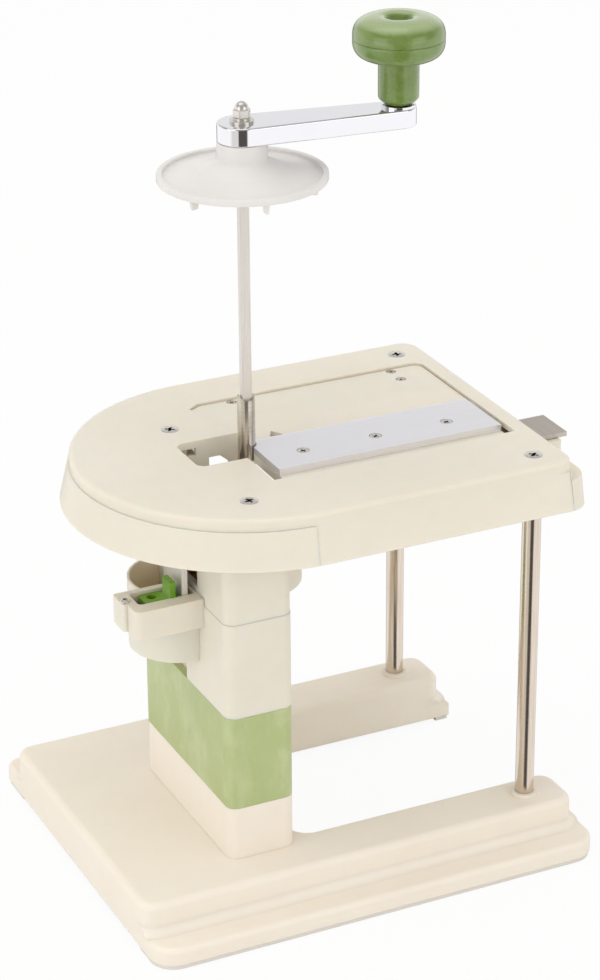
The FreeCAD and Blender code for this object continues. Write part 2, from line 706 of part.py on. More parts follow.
def soften(body, base, edges, radius):
    """A PartDesign fillet on the named edges of the base feature."""
    feature = body.newObject("PartDesign::Fillet", unique("fillet"))
    feature.Base = (base, [f"Edge{number}" for number, _ in edges])
    bind(feature, "Radius", radius)
    body.Tip = feature
    return feature


def soften_uprights(body, base, corners, radius, slack=0.4):
    DOC.recompute()
    return soften(body, base, upright_edges(base.Shape, corners, slack), radius)


def edges_at_height(shape, height, keep=lambda edge: True):
    """Edges that lie wholly at one height."""
    found = []
    for number, edge in enumerate(shape.Edges, start=1):
        bounds = edge.BoundBox
        if abs(bounds.ZMin - height) < 1e-3 and abs(bounds.ZMax - height) < 1e-3 and keep(edge):
            found.append((number, edge))
    return found


def ship(label, thing, x=AXIS_X, y=0, turn=None):
    """Give a finished sub-part its label and its place in the machine."""
    if thing.TypeId in ("Part::Box", "Part::Cylinder"):
        thing = group(thing)
    thing.Label = label
    place(thing, x, y, 0)
    if turn is not None:
        thing.Placement.Rotation = FreeCAD.Rotation(Vector(0, 0, 1), value(turn))
        bind(thing, "Placement.Rotation.Angle", turn)
    SUBPARTS.append(thing)


def flat_screw(x, y, top, dia, head_dia, head_tall, long, cross):
    """A countersunk screw with a cross recess, its head flush with the given height."""
    top = Size.of(top)
    shank = rod(x, y, (top - long, top - head_tall), dia)
    head = cone(x, y, (top - head_tall, top), dia, head_dia)
    arm, wide, deep = cross
    slots = [
        box((x - arm, x + arm), (y - wide, y + wide), (top - deep, top + 1)),
        box((x - wide, x + wide), (y - arm, y + arm), (top - deep, top + 1)),
    ]
    return cut(fuse(shank, head), *slots)


def pan_screw(x, y, seat, dia, head_dia, head_tall, long):
    """A pan head screw whose head stands on the given height."""
    return fuse(
        rod(x, y, (Size.of(seat) - long, seat), dia),
        rod(x, y, (seat, Size.of(seat) + head_tall), head_dia),
    )


# ---------------------------------------------------------------- places used more than once
POSTS = ((S.post_x, -S.post_half), (S.post_x, S.post_half))
TIE_RODS = ((-S.rod_x, -S.rod_front), (-S.rod_x, S.rod_back))
COLUMN = ((-S.col_left, -S.col_right), (-S.col_front, S.col_back))
HOLE = S.seat_gap * 2
POST_TOP = S.part_line
BLADE_LOW = S.blade_top - S.blade_thick
COVER_UNDER = S.head_top - S.head_wall
SEAT_FLOOR = S.rod_seat_low + S.nut_floor
BLADE_SCREWS = [(S.blade_screw_x + S.blade_screw_pitch * step, -S.blade_screw_y) for step in (-1, 0, 1)]
HOLDER_SCREWS = [(x, -(S.rib_front - S.rib_thick / 2)) for x, _ in BLADE_SCREWS]


def corners_of(x, y):
    return [(x[side], y[end]) for side in (0, 1) for end in (0, 1)]


def inset(span, wall):
    return (Size.of(span[0]) + wall, Size.of(span[1]) - wall)


# ---------------------------------------------------------------- stand
def leg_outline(left, right, half, yard_left, yard_half):
    """The U of the base: a plate on the left and two legs to the right."""
    return (
        (-left, -half), (right, -half), (right, -yard_half), (-yard_left, -yard_half),
        (-yard_left, yard_half), (right, yard_half), (right, half), (-left, half),
    )


def base():
    body = new_body("base_moulding")
    flange = pad(
        body,
        polygon(body, leg_outline(S.base_left, S.flange_right, S.flange_half, S.yard_left, S.yard_half),
                lift=S.foot_thick),
        S.flange_top - S.foot_thick,
    )
    outer = [(-S.base_left, -S.flange_half), (S.flange_right, -S.flange_half), (S.flange_right, S.flange_half)]
    flange = soften_uprights(body, flange, outer, S.flange_corner)
    flange = soften_uprights(body, flange, [(-S.base_left, S.flange_half)], S.flange_back_corner)
    DOC.recompute()
    rim = edges_at_height(flange.Shape, value(S.flange_top), lambda edge: on_flange_rim(edge.BoundBox))
    soften(body, flange, rim, S.flange_round)
    tier = pad(
        body,
        polygon(body, leg_outline(S.base_left, S.tier_right, S.tier_half, S.yard_left, S.yard_half),
                lift=S.foot_thick),
        S.base_top - S.foot_thick,
    )
    ends = [(-S.base_left, -S.tier_half), (-S.base_left, S.tier_half)]
    for side in (-1, 1):
        ends += [(S.tier_right, side * S.tier_half), (S.tier_right, side * S.yard_half)]
    tier = soften_uprights(body, tier, ends, S.tier_corner)
    yard = [(-S.yard_left, -S.yard_half), (-S.yard_left, S.yard_half)]
    tier = soften_uprights(body, tier, yard, S.yard_corner)
    DOC.recompute()
    soften(body, tier, edges_at_height(tier.Shape, value(S.base_top)), S.tier_round)
    hollow = leg_outline(
        S.base_left - S.base_wall, S.tier_right - S.base_wall, S.tier_half - S.base_wall,
        S.yard_left + S.base_wall, S.yard_half + S.base_wall,
    )
    pocket(body, polygon(body, hollow, lift=S.foot_thick), S.base_top - S.base_wall - S.foot_thick)
    for x, y in POSTS:
        pad(body, circle(body, x, y, S.boss_dia, lift=S.foot_thick), S.base_top - S.foot_thick)
        pad(body, circle(body, x, y, S.collar_dia, lift=S.base_top - S.base_wall),
            S.base_wall + S.collar_tall)
        pocket(body, circle(body, x, y, S.post_dia + HOLE, lift=S.post_foot), S.base_top)
        pocket(body, circle(body, x, y, S.screw_head_dia + S.slide_gap, lift=S.foot_thick),
               S.screw_head_tall)
        pocket(body, circle(body, x, y, S.screw_dia + HOLE, lift=S.foot_thick), S.base_top)
    x, y = COLUMN
    stub = pad(body, rectangle(body, x, y, lift=S.foot_thick), S.stub_top - S.foot_thick)
    soften_uprights(body, stub, corners_of(x, y), S.col_corner)
    inside = (inset(x, S.col_wall), inset(y, S.col_wall))
    pocket(body, rectangle(body, *inside, lift=SEAT_FLOOR), S.stub_top)
    pocket(body, rectangle(body, *inside, lift=S.foot_thick), S.rod_seat_low - S.foot_thick)
    for x, y in TIE_RODS:
        pocket(body, circle(body, x, y, S.rod_dia + HOLE, lift=S.foot_thick), S.stub_top)
        over_corners = S.nut_wide * 2 / root(Size.of(3))
        pocket(body, circle(body, x, y, over_corners + S.slide_gap * 2, lift=S.foot_thick),
               S.rod_seat_low - S.foot_thick)
    ship("base", body)


def on_flange_rim(bounds):
    """True for the outer top edges of the flange, not those along the yard."""
    return max(abs(bounds.YMin), abs(bounds.YMax)) > value(S.yard_half) + 1


def foot_strip(label, side):
    """One rubber strip under the front or back edge, round both corners."""
    body = new_body(label + "_strip")
    left = -S.base_left + S.foot_inset
    right = S.flange_right - S.foot_inset
    far = S.flange_half - S.foot_inset
    near = S.yard_half + S.foot_inset
    wide = S.foot_wide
    path = (
        (left, S.foot_end), (left, far), (right, far), (right, near),
        (right - wide, near), (right - wide, far - wide), (left + wide, far - wide), (left + wide, S.foot_end),
    )
    strip = pad(body, polygon(body, [(x, side * y) for x, y in path]), S.foot_thick)
    round_in = S.flange_corner - S.foot_inset
    strip = soften_uprights(body, strip, [(right, side * far)], round_in)
    strip = soften_uprights(body, strip, [(right - wide, side * (far - wide))], round_in - wide)
    if side < 0:
        strip = soften_uprights(body, strip, [(left, -far)], round_in)
        soften_uprights(body, strip, [(left + wide, wide - far)], round_in - wide)
    else:
        soften_uprights(body, strip, [(left, far)], S.flange_back_corner - S.foot_inset)
    ship(label, body)


def posts():
    for label, (x, y) in zip(("front_post", "back_post"), POSTS):
        bar = rod(x, y, (S.post_foot, POST_TOP), S.post_dia)
        thread = S.screw_dia + HOLE
        low = rod(x, y, (S.post_foot - 1, S.post_foot + S.screw_long), thread)
        high = rod(x, y, (POST_TOP - S.screw_long, POST_TOP + 1), thread)
        ship(label, cut(bar, low, high))
    heads = []
    for x, y in POSTS:
        seat = S.foot_thick + S.screw_head_tall
        heads.append(fuse(
            rod(x, y, (S.foot_thick, seat), S.screw_head_dia),
            rod(x, y, (seat, seat + S.screw_long), S.screw_dia),
        ))
    ship("post_screws", group(*heads))


def column():
    """Green sleeve, tie rods and their nuts."""
    x, y = COLUMN
    body = new_body("sleeve_tube")
    tube = pad(body, rectangle(body, x, y, lift=S.stub_top), S.sleeve_top - S.stub_top)
    soften_uprights(body, tube, corners_of(x, y), S.col_corner)
    inside = rectangle(body, inset(x, S.col_wall), inset(y, S.col_wall), lift=S.stub_top)
    pocket(body, inside, S.sleeve_top - S.col_wall - S.stub_top)
    for rod_x, rod_y in TIE_RODS:
        pocket(body, circle(body, rod_x, rod_y, S.rod_dia + HOLE, lift=S.stub_top), S.sleeve_top)
    ship("column_sleeve", body)
    bars, nuts = [], []
    for x, y in TIE_RODS:
        bar = rod(x, y, (S.rod_foot, POST_TOP), S.rod_dia)
        bars.append(cut(bar, rod(x, y, (POST_TOP - S.screw_long, POST_TOP + 1), S.screw_dia + HOLE)))
        nut = hexagon(x, y, (S.rod_seat_low - S.nut_tall, S.rod_seat_low), S.nut_wide)
        nuts.append(cut(nut, rod(x, y, (0, S.base_top), S.rod_dia + HOLE)))
    ship("tie_rods", group(*bars))
    ship("tie_rod_nuts", group(*nuts))


def neck():
    """Upper half of the column with the drum, the catch channel and the screw lug."""
    body = new_body("neck_moulding")
    x, y = COLUMN
    drum_tall = S.neck_top - S.drum_low
    pad(body, circle(body, -S.col_left, -S.drum_y, S.drum_dia, lift=S.drum_low), drum_tall)
    floor = S.drum_low + S.drum_wall
    pocket(body, circle(body, -S.col_left, -S.drum_y, S.drum_dia - S.drum_wall * 2, lift=floor),
           S.neck_top - floor)
    block_y = (-S.block_front, -S.block_back)
    block = pad(body, rectangle(body, (-S.block_left, -S.col_left), block_y, lift=S.block_low),
                S.neck_top - S.block_low)
    soften_uprights(body, block, [(-S.block_left, -S.block_front)], S.col_corner - 2)
    lug = pad(body, rectangle(body, (-S.lug_left, -S.block_left + 2), (-S.lug_front, -S.block_back),
                              lift=S.block_low + 1), S.neck_top - S.block_low - 1)
    soften_uprights(body, lug, [(-S.lug_left, -S.lug_front), (-S.lug_left, -S.block_back)], S.lug_corner)
    channel = rectangle(body, (-S.channel_left, -S.channel_right), (-S.channel_front, -S.channel_back),
                        lift=S.channel_low)
    channel = pocket(body, channel, S.neck_top - S.channel_low)
    soften_uprights(body, channel, [(-S.channel_left, -S.channel_front), (-S.channel_left, -S.channel_back)],
                    S.channel_corner)
    shaft = pad(body, rectangle(body, x, y, lift=S.sleeve_top), S.neck_joint - S.sleeve_top)
    shaft = soften_uprights(body, shaft, corners_of(x, y), S.col_corner)
    pocket(body, rectangle(body, inset(x, S.col_wall), inset(y, S.col_wall), lift=S.sleeve_top),
           S.neck_top - S.sleeve_top)
    pocket(body, rectangle(body, (x[0], x[1] + 1), (y[0] - 1, y[1] + 1), lift=S.neck_joint),
           S.neck_top - S.neck_joint)
    pocket(body, circle(body, 0, 0, S.bearing_boss_dia + S.slide_gap * 2, lift=S.barrel_low - 1),
           S.neck_top - S.barrel_low + 1)
    recess_x = (-S.col_left, -S.col_left + S.recess_deep)
    back_up = (-S.col_left, recess_x[1] + S.col_wall)
    pad(body, rectangle(body, back_up, (-S.recess_y - S.col_wall, S.col_back - S.col_wall),
                        lift=S.sleeve_top), S.drum_low + S.col_wall - S.sleeve_top)
    pocket(body, rectangle(body, recess_x, (-S.recess_y, S.col_back), lift=S.sleeve_top),
           S.drum_low - S.sleeve_top)
    pocket(body, circle(body, -S.catch_screw_x, -S.catch_screw_y, S.small_screw_dia + HOLE,
                        lift=S.block_low), S.neck_top)
    for rod_x, rod_y in TIE_RODS:
        pocket(body, circle(body, rod_x, rod_y, S.rod_dia + HOLE, lift=S.sleeve_top), S.neck_top)
    ship("neck", body)


def catch():
    """Green sliding catch with its nose in the tongue plate, and the lug screw."""
    y = (-S.channel_front + S.slide_gap, -S.channel_back - S.slide_gap)
    middle = -(S.channel_front + S.channel_back) / 2
    tab_left = -S.catch_right - S.tab_thick
    slide = rounded_uprights(
        box((-S.catch_left, -S.catch_right), y, (S.channel_low + S.slide_gap, S.catch_top)),
        [(-S.catch_left, y[0]), (-S.catch_left, y[1])], S.channel_corner)
    tab = box((tab_left, -S.catch_right), (y[0], y[0] + S.tab_wide), (S.catch_top - 1, S.tab_top))
    nose_x = (-S.catch_right - 1, -S.catch_right + S.nose_long)
    nose = box(nose_x, (middle - S.nose_wide / 2, middle + S.nose_wide / 2),
               (S.nose_low, S.nose_low + S.nose_tall))
    hole_x = -(S.catch_left + S.catch_right + S.tab_thick) / 2 - S.hole_left
    hole = rod(hole_x, middle + S.hole_back, (S.channel_low, S.catch_top + 1), S.catch_hole)
    ship("release_catch", cut(fuse(slide, tab, nose), hole))
    x, y = -S.catch_screw_x, -S.catch_screw_y
    head = S.neck_top
    screw = pan_screw(x, y, head, S.small_screw_dia, S.lug_head_dia, S.small_head_tall, S.small_screw_long)
    cross = [
        box((x - 1.5, x + 1.5), (y - 0.35, y + 0.35), (head + 0.6, head + 3)),
        box((x - 0.35, x + 0.35), (y - 1.5, y + 1.5), (head + 0.6, head + 3)),
    ]
    ship("catch_screw", cut(screw, *cross))


def tongue():
    """Aluminium plate that hangs from the head and locks in the catch channel."""
    x = (-S.tongue_left, -S.tongue_left + S.tongue_thick)
    front = -S.channel_front + S.slide_gap
    stem = box(x, (front, -S.channel_back - S.slide_gap), (S.tongue_foot, S.head_low))
    blade = box(x, (front, -S.tongue_back), (S.neck_top + S.slide_gap, S.head_low))
    bent = box((x[0] - S.tongue_flange, x[1]), (front, -S.tongue_back), (S.head_low - S.tongue_thick, S.head_low))
    middle = -(S.channel_front + S.channel_back) / 2
    window = box(
        (x[0] - 1, x[1] + 1),
        (middle - S.nose_wide / 2 - S.slide_gap, middle + S.nose_wide / 2 + S.slide_gap),
        (S.nose_low - S.slide_gap, S.nose_low + S.nose_tall + S.slide_gap),
    )
    holes = [rod(hole_x, y, (S.head_low - 5, S.head_low + 1), S.small_screw_dia + HOLE) for hole_x, y in tongue_screws()]
    ship("tongue_plate", cut(fuse(stem, blade, bent), window, *holes))
    screws = []
    for hole_x, y in tongue_screws():
        low = S.head_low - S.tongue_thick
        screws.append(fuse(
            rod(hole_x, y, (low - S.small_head_tall, low), S.small_head_dia),
            rod(hole_x, y, (low, S.head_low + S.head_wall - S.slide_gap), S.small_screw_dia),
        ))
    ship("tongue_screws", group(*screws))


def tongue_screws():
    x = -S.tongue_left - S.tongue_flange / 2
    near = S.channel_front - S.tongue_flange / 3
    far = S.tongue_back + S.tongue_flange / 3
    return ((x, -near), (x, -far))


def bearing_socket():
    """Upper socket of the column with the bearing barrel beside it."""
    x = inset(COLUMN[0], S.socket_step)
    y = inset(COLUMN[1], S.socket_step)
    z = (S.neck_joint, S.head_low)
    tube = rounded_uprights(box(x, y, z), corners_of(x, y), S.col_corner)
    web = (S.barrel_top - S.barrel_web, S.barrel_top)
    hollow = (inset(x, S.col_wall), inset(y, S.col_wall))
    tube = cut(tube, box(*hollow, (z[0] - 1, web[0])), box(*hollow, (web[1], z[1] + 1)))
    barrel_z = (S.barrel_low, S.barrel_top)
    ring = cut(rod(0, 0, barrel_z, S.barrel_dia),
               rod(0, 0, (S.barrel_low - 1, web[0]), S.barrel_dia - S.barrel_wall * 2))
    boss = rod(0, 0, (S.bearing_boss_low, S.barrel_top), S.bearing_boss_dia)
    beside = box((x[1] - 1, S.barrel_dia), (-S.barrel_dia, S.barrel_dia), (S.neck_joint, S.barrel_top + 1))
    below = box((-S.col_right + S.slide_gap, S.barrel_dia), (-S.barrel_dia, S.barrel_dia),
                (S.barrel_low - 1, S.neck_joint))
    barrel = fuse(common(ring, fuse(beside, below)), boss)
    bores = [rod(0, 0, (S.barrel_low - 1, S.head_low), S.bush_dia + HOLE),
             rod(0, 0, (S.barrel_top, S.head_low + 1), S.bush_flange_dia + S.slide_gap * 2)]
    bores += [rod(rod_x, rod_y, z, S.rod_dia + HOLE) for rod_x, rod_y in TIE_RODS]
    window = box((x[0] - 1, x[0] + S.col_wall), (-S.channel_front, -S.tongue_back),
                 (S.neck_top + S.col_wall, S.barrel_top - S.barrel_web))
    ship("bearing_socket", cut(fuse(tube, barrel), window, *bores))


# ---------------------------------------------------------------- head
def tapered_d(low_radius, high_radius, z, right):
    """A D in plan whose half width shrinks upwards: a cone at the left, a wedge to the right."""
    round_end = cone(0, 0, z, low_radius * 2, high_radius * 2)
    wedge = DOC.addObject("Part::Wedge", unique("wedge"))
    wedge.Xmin = wedge.X2min = 0
    bind(wedge, "Xmax", right)
    bind(wedge, "X2max", right)
    wedge.Ymin = 0
    bind(wedge, "Ymax", Size.of(z[1]) - z[0])
    for prop, size in (("Zmin", -low_radius), ("Zmax", low_radius), ("Z2min", -high_radius), ("Z2max", high_radius)):
        bind(wedge, prop, size)
    wedge.Placement.Rotation = FreeCAD.Rotation(Vector(1, 0, 0), 90)
    place(wedge, 0, 0, z[0])
    return fuse(round_end, wedge)


def housing():
    """Lower tray of the head: flared wall, deck over the column, ribs, lugs and sockets."""
    z = (S.head_low, S.part_line)
    right_corners = [(S.head_right, side * (S.head_low_radius + S.head_high_radius) / 2) for side in (-1, 1)]
    outer = rounded_uprights(tapered_d(S.head_low_radius, S.head_high_radius, z, S.head_right),
                             right_corners, S.head_corner, slack=4)
    core = tapered_core(z)
    tray = cut(outer, core)
    wall = S.head_wall
    reach = S.head_low_radius
    deck_z = (z[0], z[0] + wall)
    deck = common(
        tapered_d(S.head_low_radius - 1, S.head_low_radius - 2, deck_z, 1),
        box((-reach, -S.deck_right), (-reach, reach), deck_z),
    )
    rib = box((-S.deck_right - wall, S.head_right - 1), (-S.rib_front, -S.rib_front + S.rib_thick),
              (z[0], BLADE_LOW - S.holder_thick))
    end_rib = box((S.end_rib_left, S.blade_right), (-S.rib_front + 1, -S.holder_back - S.rib_thick),
                  (z[0] + S.rib_gap, BLADE_LOW - S.holder_thick))
    end_tie = box((S.end_rib_left, S.head_right - 1), (-S.rib_front + 1, -S.slide_front - S.guide_side * 2),
                  (z[0] + S.rib_gap, S.ledge_top - wall))
    lug_y = (S.hinge_y - S.hinge_barrel_dia / 2, S.head_high_radius - 1)
    lugs = []
    for left in hinge_lugs():
        lugs.append(box((left, left + S.hinge_lug_thick), lug_y, z))
    sockets = []
    for x, y in POSTS:
        sockets.append(rod(x, y, z, S.boss_dia))
        side = -1 if y.value < 0 else 1
        web = (y, side * (S.head_high_radius - 1))
        span = web if side > 0 else (web[1], web[0])
        sockets.append(box((x - wall / 2, x + wall / 2), span, z))
    for x, y in TIE_RODS:
        sockets.append(rod(x, y, (z[0], POST_TOP), S.boss_dia))
    ledge = common(core, box((S.cover_right - wall, S.head_right), (-reach, reach), (S.ledge_top - wall, S.ledge_top)))
    guide_y = (-S.slide_front - S.guide_side, -S.slide_back + S.guide_side)
    guide = rounded_uprights(
        box((S.head_right - 1, S.guide_end), guide_y, (S.guide_low, S.slide_top - S.slide_thick - S.slide_gap)),
        [(S.guide_end, guide_y[0]), (S.guide_end, guide_y[1])], S.guide_side / 2,
    )
    solid = fuse(tray, deck, rib, end_rib, end_tie, ledge, guide, *lugs, *sockets)
    holes = [rod(x, y, (z[0] - 1, POST_TOP + 1), S.post_dia + HOLE) for x, y in POSTS]
    holes += [rod(x, y, (z[0] - 1, POST_TOP + 1), S.rod_dia + HOLE) for x, y in TIE_RODS]
    holes += [rod(x, y, (z[0], z[1] + 1), S.small_screw_dia + HOLE) for x, y in HOLDER_SCREWS]
    holes += [rod(x, y, (z[0] - 1, z[1]), S.small_screw_dia + HOLE) for x, y in tongue_screws()]
    holes.append(level_rod((-S.hinge_left_lug - wall, S.slot_right + wall), S.hinge_y, S.hinge_z,
                           S.hinge_pin_dia + HOLE))
    ship("housing", cut(solid, *housing_gaps(), *holes))


def hinge_lugs():
    """Left faces of the two hinge lugs on the housing."""
    return (-S.hinge_left_lug, S.carrier_right + S.slide_gap)


def tapered_core(z):
    """Inside of the housing, with its own rounded corners."""
    wall = S.head_wall
    right = S.head_right - wall
    middle = (S.head_low_radius + S.head_high_radius) / 2 - wall
    return rounded_uprights(
        tapered_d(S.head_low_radius - wall, S.head_high_radius - wall, z, right),
        [(right, -middle), (right, middle)], S.head_corner - wall, slack=4,
    )


def housing_gaps():
    """Room in the housing for the apron, the cover end, the slide and the pit wall."""
    gap = S.slide_gap
    far = S.head_low_radius + 1
    apron = box((-S.apron_left, S.apron_right + S.seat_gap), (-far, -S.head_high_radius + S.head_wall + 1),
                (S.head_low - 1, S.part_line + 1))
    right = S.head_right
    end = box((S.cover_right - S.head_wall - gap, right), (-far, far), (S.ledge_top, S.part_line + 1))
    guide = box((right - 2, right), (-far, far), (S.ledge_top, S.part_line + 1))
    slide = box((S.slide_arm_left - S.slide_travel - gap, S.cover_right - S.head_wall - gap),
                (-S.slide_front - gap, S.hinge_y), (S.guide_low, S.part_line + 1))
    return apron, end, guide, slide


def cover():
    """Top cover: plate, skirt, front apron and the wall round the spindle opening."""
    wall = S.head_wall
    far = S.head_low_radius + 1
    top_z = (S.part_line, S.head_top)
    radius = S.cover_radius
    shell = cut(
        d_block(radius, top_z, S.cover_right, S.cover_corner),
        d_block(radius - wall, (S.part_line - 1, COVER_UNDER), S.cover_right - wall, S.cover_corner - wall),
    )
    DOC.recompute()
    soft = DOC.addObject("Part::Fillet", unique("rounded"))
    soft.Base = shell
    brim = edges_at_height(shell.Shape, value(S.head_top))
    soft.Edges = [(number, value(S.cover_round), value(S.cover_round)) for number, _ in brim]
    apron_z = (S.head_low, S.part_line)
    flare = cut(
        tapered_d(S.head_low_radius, radius, apron_z, S.apron_right),
        tapered_d(S.head_low_radius - wall, radius - wall, (apron_z[0] - 1, apron_z[1] + 1), S.apron_right + 1),
    )
    apron = common(flare, box((-S.apron_left + S.seat_gap, S.apron_right), (-far, -S.head_high_radius + wall + 1),
                              apron_z))
    end_wall = box((S.cover_right - wall, S.cover_right), (-radius + S.cover_corner, radius - S.cover_corner),
                   (S.ledge_top + S.slide_gap, S.part_line))
    pit_z = (S.head_top - S.pit_deep, COVER_UNDER)
    pit_x = (-S.pit_left, -S.slot_left)
    pit_y = (-S.pit_front, S.pit_back)
    outer_pit = box((pit_x[0] - S.pit_wall, pit_x[1]), (pit_y[0] - S.pit_wall, pit_y[1] + S.pit_wall), pit_z)
    pillars = [rod(x, y, (S.part_line, COVER_UNDER), S.boss_dia - 3) for x, y in POSTS + TIE_RODS]
    solid = fuse(soft, apron, end_wall, outer_pit, gate_wall(), *pillars)
    pit = rounded_uprights(box(pit_x, pit_y, (S.ledge_top - 2, S.head_top + 1)),
                           [(pit_x[0], pit_y[0]), (pit_x[0], pit_y[1])], S.pit_corner)
    peep_top = COVER_UNDER - S.peep_top
    slots = [
        pit, blade_opening(),
        box((-S.peep_left, -S.peep_right), (pit_y[1] - 1, pit_y[1] + S.pit_wall + 1), (peep_top - S.peep_tall, peep_top)),
        box((S.cover_right - wall - 1, S.cover_right + 1), (-S.slide_front - S.slide_gap, -S.slide_back + S.slide_gap),
            (S.ledge_top, S.slide_top + S.slide_gap)),
    ]
    for x, y in POSTS + TIE_RODS:
        slots.append(rod(x, y, (S.ledge_top, S.head_top + 1), S.screw_dia + HOLE))
        slots.append(cone(x, y, (S.head_top - S.screw_head_tall, S.head_top), S.screw_dia + HOLE,
                          S.screw_head_dia + HOLE))
    ship("cover", cut(solid, *slots))


def gate_wall():
    """Deep back wall of the spindle opening, with a gate towards the ramp."""
    y = (S.pit_back, S.pit_back + S.pit_wall)
    low = S.head_low + S.head_wall + S.gate_foot
    wall = box((-S.pit_left - S.pit_wall, S.ramp_root_x), y, (low, COVER_UNDER))
    top = S.head_top - S.pit_deep
    body = new_body("gate_tool")
    gate = ((-S.gate_left, low - 1), (-S.gate_right, low - 1), (-S.gate_right, top - S.gate_slope),
            (-S.gate_knee, top), (-S.gate_left, top))
    pad(body, polygon(body, gate, role="XZ_Plane", lift=-(y[1] + 1)), S.pit_wall + 2)
    return cut(wall, body)


def d_block(radius, z, right, corner):
    """A plain D in plan with rounded right corners."""
    block = box((0, right), (-radius, radius), z)
    solid = fuse(rod(0, 0, z, radius * 2), block)
    return rounded_uprights(solid, [(right, -radius), (right, radius)], corner)


def ramp_outline(gap):
    """Outline of the ramp opening, drawn in by a gap, from its tip clockwise."""
    return (
        (-S.ramp_tip_x + gap, S.ramp_tip_y), (-S.ramp_tip_x + gap + S.ramp_tip_wide, S.ramp_back - gap),
        (S.slot_right - gap, S.ramp_back - gap),
    )


def blade_opening():
    """The one opening for blade and ramp, as a prism through the cover plate."""
    body = new_body("opening_tool")
    gap = Size.of(0)
    outline = ramp_outline(gap) + (
        (S.slot_right, -S.slot_front), (-S.slot_left, -S.slot_front),
        (-S.slot_left, -S.pit_front), (-S.slot_left - 1, -S.pit_front), (-S.slot_left - 1, S.pit_back),
        (S.ramp_root_x, S.pit_back),
    )
    prism = pad(body, polygon(body, outline, lift=S.ledge_top), S.head_top + 1 - S.ledge_top)
    prism = soften_uprights(body, prism, [(S.slot_right, S.ramp_back)], S.ramp_corner)
    soften_uprights(body, prism, outline[:2], S.ramp_tip_round)
    return body


def frame_screws():
    cross = (2.4, 0.55, 1.7)
    screws = [
        flat_screw(x, y, S.head_top, S.screw_dia, S.screw_head_dia, S.screw_head_tall, S.screw_long, cross)
        for x, y in POSTS + TIE_RODS
    ]
    ship("cover_screws", group(*screws))


def blade():
    """Blade plate with its ground edge, its screws and the holder under it."""
    body = new_body("blade_body")
    edge = S.blade_edge
    section = (
        (-S.blade_front, BLADE_LOW), (edge - S.bevel_wide, BLADE_LOW), (edge, S.blade_top - 0.4),
        (edge, S.blade_top - 0.2), (edge - S.bevel_wide * 0.5, S.blade_top), (-S.blade_front, S.blade_top),
    )
    pad(body, polygon(body, section, role="YZ_Plane", lift=S.blade_left), S.blade_right - S.blade_left)
    for x, y in BLADE_SCREWS:
        pocket(body, circle(body, x, y, S.blade_screw_dia + HOLE, lift=BLADE_LOW), S.blade_thick)
        pocket(body, circle(body, x, y, S.blade_head_dia + HOLE, lift=S.blade_top - S.blade_head_tall),
               S.blade_head_tall)
    spindle_room = S.tube_dia + S.blade_clear * 2
    pocket(body, circle(body, 0, 0, spindle_room, lift=BLADE_LOW), S.blade_thick)
    ship("blade", body)
    cross = (1.7, 0.4, 1.2)
    screws = []
    for x, y in BLADE_SCREWS:
        top = S.blade_top
        shank = rod(x, y, (BLADE_LOW - S.holder_thick + 0.5, top - S.blade_head_tall), S.blade_screw_dia)
        head = rod(x, y, (top - S.blade_head_tall, top - S.head_sink), S.blade_head_dia)
        arm, wide, deep = cross
        slots = [
            box((x - arm, x + arm), (y - wide, y + wide), (top - deep, top + 1)),
            box((x - wide, x + wide), (y - arm, y + arm), (top - deep, top + 1)),
        ]
        screws.append(cut(fuse(shank, head), *slots))
    ship("blade_screws", group(*screws))
    holder_z = (BLADE_LOW - S.holder_thick, BLADE_LOW)
    plate = box((S.blade_left, S.blade_right), (-S.holder_front, -S.holder_back), holder_z)
    holes = [rod(x, y, holder_z, S.blade_screw_dia + HOLE) for x, y in BLADE_SCREWS]
    holes.append(rod(*POSTS[0], holder_z, S.boss_dia + S.slide_gap * 2))
    holes.append(rod(0, 0, holder_z, spindle_room))
    for x, y in HOLDER_SCREWS:
        holes.append(rod(x, y, holder_z, S.small_screw_dia + HOLE))
        holes.append(rod(x, y, (BLADE_LOW - S.small_head_tall, BLADE_LOW + 1), S.small_head_dia + HOLE))
    ship("blade_holder", cut(plate, *holes))
    fixings = []
    for x, y in HOLDER_SCREWS:
        seat = BLADE_LOW - S.small_head_tall
        fixings.append(pan_screw(x, y, seat, S.small_screw_dia, S.small_head_dia, S.small_head_tall,
                                 S.small_screw_long))
    ship("holder_screws", group(*fixings))


